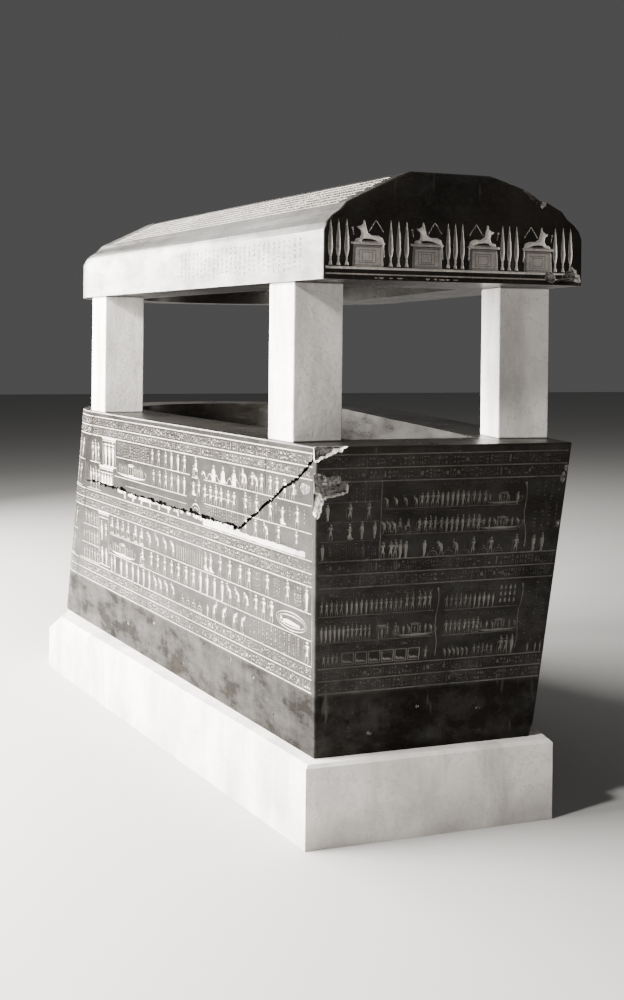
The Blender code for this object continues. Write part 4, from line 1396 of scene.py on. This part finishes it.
def make_foot():
    """The whole foot end. Its carving, cut as pale as the sides', is laid dimmer here as painted shade, since
    the main light only grazes this end.
    """
    rng = np.random.default_rng(31)
    sheet = Sheet(grid_outline(ACROSS * FOOT_WIDE, SHARES * FOOT_TALL))
    side_bands(sheet, foot_xy, lambda y: 14, 1386, rng, FOOT_BANDS, FAINT)
    lay_foot_upper(sheet, rng)
    lay_foot_lower(sheet, rng)
    for x0, y0, wide, tall in ((80, 182, 62, 40), (1372, 186, 16, 34), (1376, 432, 14, 26),
                               (1010, 1420, 14, 9), (330, 1500, 20, 12), (620, 1380, 12, 10)):
        edge = ragged_oval(rng, wide * FOOT_STEP, tall * FOOT_STEP, 15, 0.72, 1.15) + foot_xy(x0, y0)
        sheet.add([np.clip(edge, (EDGE * 1.2, 0.01), (FOOT_WIDE - EDGE * 1.2, 0.92))], 0.003, BROKEN)
    u, v = foot_xy(np.array([262, 266, 259, 264, 261]), np.array([30, 95, 150, 220, 290.0]))
    sheet.add([ribbon(np.column_stack([u, v]), 0.0015)], 0.0015, BROKEN)
    scatter = np.vstack([scatter_near(rng, 0.012, 0.17, 0.66, 0.915),
                         scatter_near(rng, 0.68, 0.755, 0.74, 0.90)])
    # Painted shade: every fully pale cut of the foot end is laid dimmer.
    shapes = [(outline, depth, DIM if finish == CARVED else finish)
              for outline, depth, finish in sheet.shapes]
    return carve(shapes, foot_place, scatter)


foot_end = make_foot()
print("foot end", len(foot_end[1]), "triangles")

# %% [markdown]
# Round the head the bands go on, with a plainer field of figures. The face is folded along upright
# lines before it is carved, so that it can follow the curve. A fold is a strip of the flat drawing at
# no depth: its edges become lines of the mesh, and the face bends there.

# %% The head end
def head_place(u, v, down):
    """Point on the rounded head, as seen from behind: u runs from the right side to the left one."""
    share = v / CHEST_TALL
    angle = np.interp(HEAD_WIDE - u, fine_run, fine_angle)
    x, y, z = chest_head(angle, share)
    x1, y1, _ = chest_head(np.clip(angle + 0.004, 0, math.pi), share)
    x0, y0, _ = chest_head(np.clip(angle - 0.004, 0, math.pi), share)
    long = np.hypot(x1 - x0, y1 - y0)
    return np.column_stack([x + down * (y1 - y0) / long, y - down * (x1 - x0) / long, z])


def make_head_end():
    """Bands all round, two rows of walking figures above and below the middle band."""
    rng = np.random.default_rng(43)
    u = np.linspace(0, HEAD_WIDE, HEAD_STEPS + 1)
    v = SHARES * CHEST_TALL
    sheet = Sheet(grid_outline(u, v), [block(a, 0, b, v[-1]) for a, b in zip(u, u[1:])])

    def xy(x, y):
        return x * HEAD_WIDE / 1000, (1 - y / SIDE_ROW) * CHEST_TALL

    side_bands(sheet, xy, lambda y: 3, 997, rng)
    for base, top in ((205, 108), (318, 218), (515, 412), (628, 528)):
        line_on(sheet, xy, 30, 970, base)
        kinds = ("walk", "wrap", "walk:1", "bow", "walk:2")
        entries = [(kinds[i % 5], (x,)) for i, x in enumerate(np.arange(50, 960, 30.0))]
        rows_of(sheet, xy, base, top, entries, 0.92)
    return carve(sheet.shapes, head_place)


head_end = make_head_end()
print("head end", len(head_end[1]), "triangles")

# %% [markdown]
# The rim, the hollow and the underside are plain. The rim is a level face with the hollow's mouth as a
# hole, the hollow's walls are one strip from its mouth to its floor, and a curve rounds the rim's edge.

# %% The rim, the hollow, the underside and the rounded corners
def hollow_plan(wall, foot_wall, lean):
    """Plan of a hollow: the rim's own outline, a wall's thickness and a lean in, closed at the foot."""
    half = RIM_HALF - wall - lean
    foot = foot_wall + lean
    angle = np.linspace(0, math.pi, 64)
    x, y = head_curve(half, foot, RIM_HEAD, RIM_DEPTH - wall - lean, HEAD_POWER_RIM, angle)
    x = np.concatenate([[-half], x, [half]])
    y = np.concatenate([[foot], y, [foot]])
    return np.column_stack([x, y + FOOT_EDGE])


def flat_face(loop, height, scatter=None, mouth=None):
    """A level face that looks up, with an optional hole."""
    shapes = [(loop, 0.0, PLAIN)] + ([(mouth, -1.0, PLAIN)] if mouth is not None else [])
    return carve(shapes, lambda u, v, down: np.column_stack([u, v, height - down]), scatter)


def facing_down(part):
    """The same patch with its faces turned over."""
    points, faces, finish = part
    return points, faces[:, ::-1], finish


def raised(plan, height):
    """A plan as points at one height."""
    return np.column_stack([plan, np.full(len(plan), height)])


def make_rim():
    """The rounded upper edge, the flat rim, the hollow's walls and floor, and the underside."""
    rng = np.random.default_rng(5)
    rows = [chest_loop(1 - EDGE * (1 - k) ** 2 / CHEST_TALL, EDGE * k ** 2) for k in np.linspace(0, 1, 6)]
    mouth = hollow_plan(CHEST_WALL, CHEST_FOOT_WALL, 0.0)
    floor = hollow_plan(CHEST_WALL, CHEST_FOOT_WALL, CAVITY_LEAN)
    corner = np.array([-RIM_HALF, FOOT_EDGE])
    scatter = scatter_near(rng, corner[0] + 0.012, corner[0] + 0.13, corner[1] + 0.012, corner[1] + 0.075)
    deep = chest_low[2] + CHEST_FLOOR
    return [strip(rows, flip=True),
            flat_face(rows[-1][::-1, :2], chest_high[2], scatter, mouth),
            strip([raised(mouth, chest_high[2]), raised(floor, deep)], flip=True),
            flat_face(floor, deep),
            facing_down(flat_face(chest_loop(0.0)[::-1, :2], chest_low[2]))]


def make_corners():
    """The rounded upright edge between a long side and the foot end, and its mirror image."""
    loops = [chest_loop(share) for share in SHARES]
    first = len(BACKS) * 2 + HEAD_STEPS - 1
    count = len(loops[0])
    spans = (np.arange(first - 1, first + 5), np.concatenate([np.arange(count - 5, count), [0]]))
    return [strip(np.array([loop[span] for loop in loops]), closed=False, flip=True) for span in spans]


cavity_mouth = hollow_plan(CHEST_WALL, CHEST_FOOT_WALL, 0.0)
print("the hollow's mouth is", round(float(np.ptp(cavity_mouth[:, 1])), 3), "m long")

# %% [markdown]
# Six boxes break the chest: the wedge above the crack at its foot corner, the chip, the hollow and the
# knocked edge under it, the right corner, and a corner of the base. Each row below gives the box's
# middle, its size, its turn about X, Y and Z, the way in, and how pale the break's lip is. Fresh broken
# stone is pale; the dimmer lips, where a break faces away from the main light, are painted shade.

# %% The chest's breaks and its pieces
corner_line = np.array([-(RIM_HALF - BASE_HALF), -BASE_FOOT, CHEST_TALL])
corner_line /= np.linalg.norm(corner_line)
rim_corner = np.array([-RIM_HALF, FOOT_EDGE, chest_high[2]])
other_line = corner_line * MIRROR
other_corner = rim_corner * MIRROR
base_corner = np.array([BASE_HALF, BASE_FOOT + FOOT_EDGE, chest_low[2]])
# The last item is the lip's paleness; the dimmer ones are painted shade.
CHEST_BREAKS = (
    (rim_corner + (0.0309, -0.029, 0.0158),
     (0.170, 0.090, 0.080), (0.0, -0.415, 0.0), (0, 1, 0), CARVED),
    (rim_corner - corner_line * 0.128 + (0.050, -0.016, 0.0),
     (0.095, 0.055, 0.034), (0.05, -0.22, 0.10), (0.1, 1, 0), DIM),
    (rim_corner - corner_line * 0.112 + (0.0, -0.018, 0.0),
     (0.050, 0.058, 0.062), (0.05, 0.10, 0.0), (0, 1, 0), FAINT),
    (rim_corner - corner_line * 0.170 + (-0.004, -0.006, 0.0),
     (0.040, 0.040, 0.064), (0.10, 0.05, 0.70), (1, 1, 0), CARVED),
    (other_corner - other_line * 0.115 + (0.016, -0.018, 0.0),
     (0.045, 0.045, 0.090), (0.0, -0.05, 0.60), (-1, 1, 0), DIM),
    (base_corner + (0.014, -0.010, 0.0),
     (0.050, 0.050, 0.070), (0.30, 0.10, 0.75), (-1, 1, 0.3), DIM),
)
for name, parts in (("chest_left_side", [left_side]),
                    ("chest_right_side", [right_side]),
                    ("chest_foot_end", [foot_end] + make_corners()),
                    ("chest_head_end", [head_end]),
                    ("chest_rim_and_hollow", make_rim())):
    build_piece(name, parts, CHEST_BREAKS, "chest")

# %% [markdown]
# The lid is a low roof: upright sides, a rounded shoulder, a long slope and a flat ridge. Its section is
# a short list of points, and the same section is carried down both sides and round the head, where it
# is squeezed together so that the ridge dies into the rounded end.

# %% The lid's skin
SECTION_RUN = np.concatenate([[0], np.cumsum(np.hypot(*np.diff(LID_SECTION, axis=0).T))])
ROOF_LONG = RIM_HEAD + LID_OVERHANG
GABLE_Y = FOOT_EDGE - LID_OVERHANG
INSET_LAST = LID_SECTION[-1, 0]
HEAD_SQUEEZE = 0.92


def section_at(run):
    """Distance in from the side and height above the underside, at a distance along the section."""
    return np.interp(run, SECTION_RUN, LID_SECTION[:, 0]), np.interp(run, SECTION_RUN, LID_SECTION[:, 1])


def roof_place(u, v, down):
    """Point on the left slope: u counts from the head toward the foot, v along the section."""
    inset, height = section_at(v)
    y = ROOF_LONG - u
    x = -(RIM_HALF - inset + SPREAD * y)
    piece = np.clip(np.searchsorted(SECTION_RUN, v, side="right") - 1, 0, len(SECTION_RUN) - 2)
    step = np.diff(LID_SECTION, axis=0)[piece]
    step = step / np.linalg.norm(step, axis=1, keepdims=True)
    return np.column_stack([x + down * step[:, 1], y + GABLE_Y, lid_low[2] + height - down * step[:, 0]])


def lid_head(angle, run):
    """Point on the lid's rounded head, at an angle round it and a distance along the section."""
    inset, height = section_at(run)
    x, y = head_curve(RIM_HALF - inset, -LID_OVERHANG, RIM_HEAD, RIM_DEPTH, HEAD_POWER_RIM, angle)
    y = RIM_HEAD + (y - RIM_HEAD) * (1 - HEAD_SQUEEZE * inset / INSET_LAST)
    return np.column_stack([x, y + FOOT_EDGE, np.broadcast_to(lid_low[2] + height, x.shape)])


SECTION_PARTS = (18, 3, 3, 4, 4, 26, 4)
SECTION_SAMPLES = np.unique(np.concatenate([
    np.linspace(a, b, n + 1) for a, b, n in zip(SECTION_RUN, SECTION_RUN[1:], SECTION_PARTS)]))
LID_ANGLES = np.linspace(0, math.pi, 57)
ROOF_EDGE = np.unique(np.concatenate([np.linspace(0, 1.80, 12), np.linspace(1.80, ROOF_LONG - EDGE, 28)]))


def lay_roof(sheet, rng):
    """Six rows of signs up the slope, with a rule between them, and faint ones on the upright side."""
    lines = np.linspace(SECTION_RUN[5] + 0.003, SECTION_RUN[6] - 0.004, 7)
    end = ROOF_LONG - 0.055
    for y in lines:
        sheet.add([rail(0.02, end, y, BAND_RULE)], RULE)
    for y0, y1 in zip(lines, lines[1:]):
        sheet.add(stroke_row(rng, 0.03, end - 0.01, y0 + 0.005, y1 - 0.005, 1.5, (1, 1, 2)), SIGN)
    for x in np.arange(0.9, end - 0.05, 0.034):
        sheet.add(stroke_column(rng, x, 0.035, SECTION_RUN[1] - 0.012, 0.020), SIGN, FAINT)


def make_roof(seed, mirror):
    """One side of the lid, from its lower edge to the ridge."""
    rng = np.random.default_rng(seed)
    folds = [block(0, a, ROOF_EDGE[-1], b) for a, b in zip(SECTION_RUN, SECTION_RUN[1:])]
    sheet = Sheet(grid_outline(ROOF_EDGE, SECTION_SAMPLES), folds)
    lay_roof(sheet, rng)
    scatter = scatter_near(rng, 1.78, ROOF_LONG - 2 * EDGE, 0.005, SECTION_RUN[-1] - 0.005, 0.008)
    return carve(sheet.shapes, roof_place, scatter, mirror=mirror)


print("the lid's section runs", round(float(SECTION_RUN[-1]), 3), "m from its lower edge to the ridge")

# %% [markdown]
# The gable's frieze: four jackals lie on shrines, each with a sceptre before it and a bent roof line
# above, and slim buds stand in threes between them. The two right-hand jackals face the other way, so
# their outline is turned about its own upright middle.

# %% The gable's frieze
GABLE_STEP = 0.000525
FRIEZE = 0.0030


def gable_xy(x, y):
    """Metres on the gable, from its middle and its foot, from the layout drawing's steps."""
    return -0.42 + np.asarray(x) * GABLE_STEP, 0.32 - np.asarray(y) * GABLE_STEP


def gable_shape(points, x=0.0, flip=False):
    """A drawn outline, turned about the upright line through 0 where it faces right, then moved to x."""
    points = np.asarray(points, float) * ((-1 if flip else 1), 1)
    return np.column_stack(gable_xy(points[:, 0] + x, points[:, 1]))


def bud(x):
    """A slim pointed bud on a waisted foot: its half width follows its height."""
    y = np.array([288, 330, 385, 440, 475, 493, 500, 506, 535])
    half = np.array([1.0, 6, 11, 14, 10, 4, 7, 4, 12])
    outline = np.vstack([np.column_stack([half, y]), np.column_stack([-half, y])[::-1]])
    rib = np.array([(-3.5, 340), (0, 318), (3.5, 340), (8.5, 438), (0, 480), (-8.5, 438)])
    return [gable_shape(outline, x), ("dim", gable_shape(rib, x))]


def jackal(x, flip):
    """A jackal lying on a shrine, drawn facing left with the shrine's middle at 0."""
    def at(points):
        return gable_shape(points, x, flip)

    body = [(-78, 406), (-72, 392), (-48, 386), (-40, 366), (-44, 344), (-60, 334), (-64, 326), (-44, 322),
            (-30, 312), (-27, 292), (-20, 290), (-16, 312), (-10, 330), (-4, 356), (20, 372), (60, 372),
            (84, 384), (92, 404), (97, 486), (90, 490), (84, 420), (74, 407)]
    hollow = [(-38, 402), (-30, 392), (-6, 388), (28, 392), (60, 402)]
    cornice = [(-96, 408), (96, 408), (101, 414), (96, 421), (-96, 421), (-101, 414)]
    parts = [at(body), ("keep", at(hollow)), at(cornice),
             ("dim", at([(-84, 425), (84, 425), (90, 539), (-90, 539)]))]
    for grow in (0, 26, 44):
        wide, low, high = 76 - grow, 432 + grow * 0.62, 532 - grow * 0.50
        parts.append(("faint", at([(-wide, low), (wide, low), (wide, high), (-wide, high)])))
        parts.append(("dim", at(block(4 - wide, low + 4, wide - 4, high - 4))))
    sceptre = [(-92, 336), (-88, 334), (-80, 372), (-84, 374)]
    knob = [(-98, 334), (-90, 326), (-82, 334), (-90, 340)]
    roof_line = ribbon([(4, 352), (42, 294), (46, 290), (50, 294), (88, 350)], 5)
    return parts + [at(sceptre), at(knob), at(roof_line)]


print("shapes of a jackal on its shrine:", len(jackal(0, False)))

# %% [markdown]
# The gable is flat, so it is carved in its own plane. A softened edge joins it to the roof: a curve that
# leaves the roof's last line and comes into the gable's outline, row by row. The front of the ridge gets
# points of its own, so that the break in it can be ragged.

# %% The gable and its softened edge
def make_gable():
    """The foot end of the lid with its frieze, two rules under it and one round spall."""
    rng = np.random.default_rng(3)
    inset, height = section_at(SECTION_SAMPLES)
    side = np.column_stack([RIM_HALF - inset, height])
    away = np.array([0.0, 0.12]) - side
    inner = side + away / np.linalg.norm(away, axis=1, keepdims=True) * EDGE
    inner[0] = (side[0, 0] - EDGE, 0.0)
    flipped = inner * (-1, 1)
    sheet = Sheet(np.vstack([inner, ridge_between(inner[-1], flipped[-1]), flipped[::-1]]))
    for middle in (52, 97, 145, 400, 446, 493, 742, 786, 829, 1077, 1120, 1165, 1412, 1463, 1510):
        sheet.add(bud(middle), FRIEZE)
    for middle, flip in ((267, False), (615, False), (960, True), (1302, True)):
        sheet.add(jackal(middle, flip), FRIEZE)
    for y, half in ((547, 6.5), (580, 3.5)):
        sheet.add([gable_shape(block(25, y - half, 1545, y + half))], RULE)
    for x in (315, 345, 402, 455, 620, 668, 705, 742, 790):
        wide, tall = rng.uniform(8, 20), rng.uniform(3, 6)
        sheet.add([gable_shape(ragged_oval(rng, wide, tall, 9, 0.7, 1.2) + (x, 598))], 0.002)
    sheet.add([gable_shape(ragged_oval(rng, 38, 34, 17, 0.8, 1.15) + (1382, 566))], 0.004, BROKEN)
    scatter = np.vstack([scatter_near(rng, 0.27, 0.40, 0.006, 0.07, 0.005),
                         scatter_near(rng, 0.20, 0.34, 0.19, 0.28, 0.005),
                         scatter_near(rng, 0.075, 0.200, 0.270, 0.304, 0.005)])

    def place(u, v, down):
        return np.column_stack([u, GABLE_Y + down, lid_low[2] + v])

    return carve(sheet.shapes, place, scatter), inner, side


def ridge_between(start, end):
    """Points between two ends of the ridge's front edge, so that it can be chipped."""
    t = np.linspace(0, 1, 42)[1:-1, None]
    return start + (end - start) * t


def make_gable_edge(inner, side):
    """The softened edge between the roof and the gable, a curve between their two edges."""
    still = np.zeros(len(SECTION_SAMPLES))
    right = roof_place(still + ROOF_LONG - EDGE, SECTION_SAMPLES, still) * MIRROR
    sharp, front = (columns(edge[:, 0], GABLE_Y, lid_low[2] + edge[:, 1]) for edge in (side, inner))
    rows = bend(right, sharp, front, np.linspace(0, 1, 6)[:, None, None])
    middle = np.array([ridge_between(row[-1], row[-1] * MIRROR) for row in rows])
    rows = np.concatenate([rows, middle, (rows * MIRROR)[:, ::-1]], axis=1)
    return strip(rows, closed=False)


gable, gable_inner, gable_side = make_gable()
print("gable", len(gable[1]), "triangles")

# %% [markdown]
# What is left of the lid is plain: the rounded head, the flat ridge, and the underside with its shallow
# hollow. Then three boxes break its front edge, as they did the chest's.

# %% The rest of the lid, its breaks and its pieces
def lid_loop(run):
    """Level loop of the lid at a distance along its section, clockwise from above, without its foot end."""
    left = roof_place(ROOF_EDGE[::-1], np.full(len(ROOF_EDGE), run), np.zeros(len(ROOF_EDGE)))
    return np.vstack([left, lid_head(LID_ANGLES, run)[1:-1], mirrored(left)])


def make_lid_head():
    """The rounded head of the lid: the section carried round half a turn, and the end of the ridge."""
    rows = np.array([lid_head(LID_ANGLES, run) for run in SECTION_SAMPLES])
    return strip(rows, closed=False, flip=True)


def make_ridge():
    """The flat ridge between the two slopes, and its rounded end."""
    loop = lid_loop(SECTION_RUN[-1])
    loop = np.vstack([loop, ridge_between(loop[-1], loop[0])])[:, :2]
    scatter = scatter_near(np.random.default_rng(5), 0.075, 0.146, GABLE_Y + 0.010, GABLE_Y + 0.10, 0.006)
    return flat_face(loop[::-1], lid_high[2], scatter)


def make_lid_under():
    """The lid's underside with its hollow."""
    loop = lid_loop(0.0)
    corner = np.array([[RIM_HALF - EDGE, GABLE_Y, 0], [EDGE - RIM_HALF, GABLE_Y, 0]])
    turn = bend(loop[-1] * (1, 1, 0), np.array([RIM_HALF, GABLE_Y, 0]), corner[0], CORNER_TURN[:, None])
    loop = np.vstack([loop, turn, corner, mirrored(turn)])[:, :2]
    mouth = hollow_plan(LID_RIM, LID_FOOT_RIM, 0.0)
    roof = hollow_plan(LID_RIM, LID_FOOT_RIM, LID_LEAN)
    scatter = scatter_near(np.random.default_rng(8), 0.27, 0.40, GABLE_Y + 0.006, GABLE_Y + 0.05, 0.006)
    deep = lid_low[2] + LID_HOLLOW
    return [facing_down(flat_face(loop[::-1], lid_low[2], scatter, mouth)),
            strip([raised(mouth, lid_low[2]), raised(roof, deep)]),
            facing_down(flat_face(roof, deep))]


lid_parts = [gable, make_gable_edge(gable_inner, gable_side), make_lid_head(), make_ridge()]
lid_parts += make_lid_under()
# The last item is the lip's paleness; the dimmer ones, on the gable, are painted shade.
LID_BREAKS = (
    (np.array([RIM_HALF - 0.055, GABLE_Y, lid_low[2]]),
     (0.10, 0.034, 0.045), (0.3, -0.75, 0.0), (-0.2, 1.0, 0.6), DIM),
    (np.array([0.1742, GABLE_Y + 0.010, lid_low[2] + 0.3059]),
     (0.160, 0.130, 0.030), (0.10, 0.285, 0.08), (-0.28, 0.0, -0.96), PLAIN),
    (np.array([0.262, GABLE_Y - 0.01, lid_low[2] + 0.262]),
     (0.070, 0.050, 0.040), (0.2, 0.7, 0.3), (-0.4, 0.8, -0.6), FAINT),
)
for name, parts in (("lid_gable_and_head", lid_parts), ("lid_left_slope", [make_roof(61, False)]),
                    ("lid_right_slope", [make_roof(67, True)])):
    build_piece(name, parts, LID_BREAKS, "lid")

# %% [markdown]
# The floor is one pale sheet. The main light is a tall soft sheet on the left, because the lid's upright
# side shines white while the foot end stays almost black. A second sheet behind it makes the polished
# rim and the carving gleam at a low angle, as stone does against the light. A small lamp in front on the
# left gives the posts their slanting shadows, a weak fill lifts the foot end's carving out of the dark,
# and a high light behind draws the lid's shoulder.

# %% Floor and light
FLOOR_HALF, FLOOR_DROP = 30.0, 0.0005
LIGHT_COLOUR = (1.0, 0.965, 0.915)
ROOM_GREY, ROOM_STRENGTH = 0.5, 0.16
# Each light: name, place, the point that it faces, its width and height in metres, and its watts
LIGHTS = (
    ("left_sheet", (-4.6, 0.35, 2.4), (-0.3, 0.1, 1.0), 3.6, 3.2, 3200.0),
    ("back_sheet", (-3.6, 4.6, 2.75), (-0.5, 0.0, 1.8), 4.5, 2.3, 2400.0),
    ("front_fill", (1.6, -5.0, 4.3), (0.0, -1.2, 1.7), 2.4, 1.6, 20.0),
    ("key_lamp", (-4.0, -2.6, 3.7), (-0.2, -1.3, 1.4), 0.5, 0.5, 430.0),
    ("high_back", (-1.2, 6.6, 5.5), (-0.3, 0.0, 1.9), 5.0, 1.8, 170.0),
)


def make_floor():
    """One square sheet just under the plinth."""
    mesh = bpy.data.meshes.new("floor")
    corners = np.array([[-1, -1], [1, -1], [1, 1], [-1, 1]]) * FLOOR_HALF
    places = np.column_stack([corners, np.full(4, -FLOOR_DROP)])
    mesh.from_pydata(places.tolist(), [], [(0, 1, 2, 3)])
    floor = bpy.data.objects.new("floor", mesh)
    bpy.context.collection.objects.link(floor)
    material, tree, shader = new_material("pale_floor")
    shader.inputs["Base Color"].default_value = grey(0.36, 0.01)
    shader.inputs["Roughness"].default_value = 0.7
    mesh.materials.append(material)


def add_light(name, place, aim, width, height, power):
    """A flat sheet of light, turned to face a point."""
    data = bpy.data.lights.new(name, "AREA")
    data.shape = "RECTANGLE"
    data.size = width
    data.size_y = height
    data.energy = power
    data.color = LIGHT_COLOUR
    lamp = bpy.data.objects.new(name, data)
    away = Vector(place) - Vector(aim)
    lamp.rotation_euler = away.to_track_quat("Z", "Y").to_euler()
    lamp.location = place
    bpy.context.collection.objects.link(lamp)


make_floor()
for light in LIGHTS:
    add_light(*light)
world = bpy.data.worlds.new("soft_room")
world.use_nodes = True
world.node_tree.nodes["Background"].inputs["Color"].default_value = grey(ROOM_GREY, 0.0)
world.node_tree.nodes["Background"].inputs["Strength"].default_value = ROOM_STRENGTH
bpy.context.scene.world = world
print("lights:", [name for name, *_ in LIGHTS])
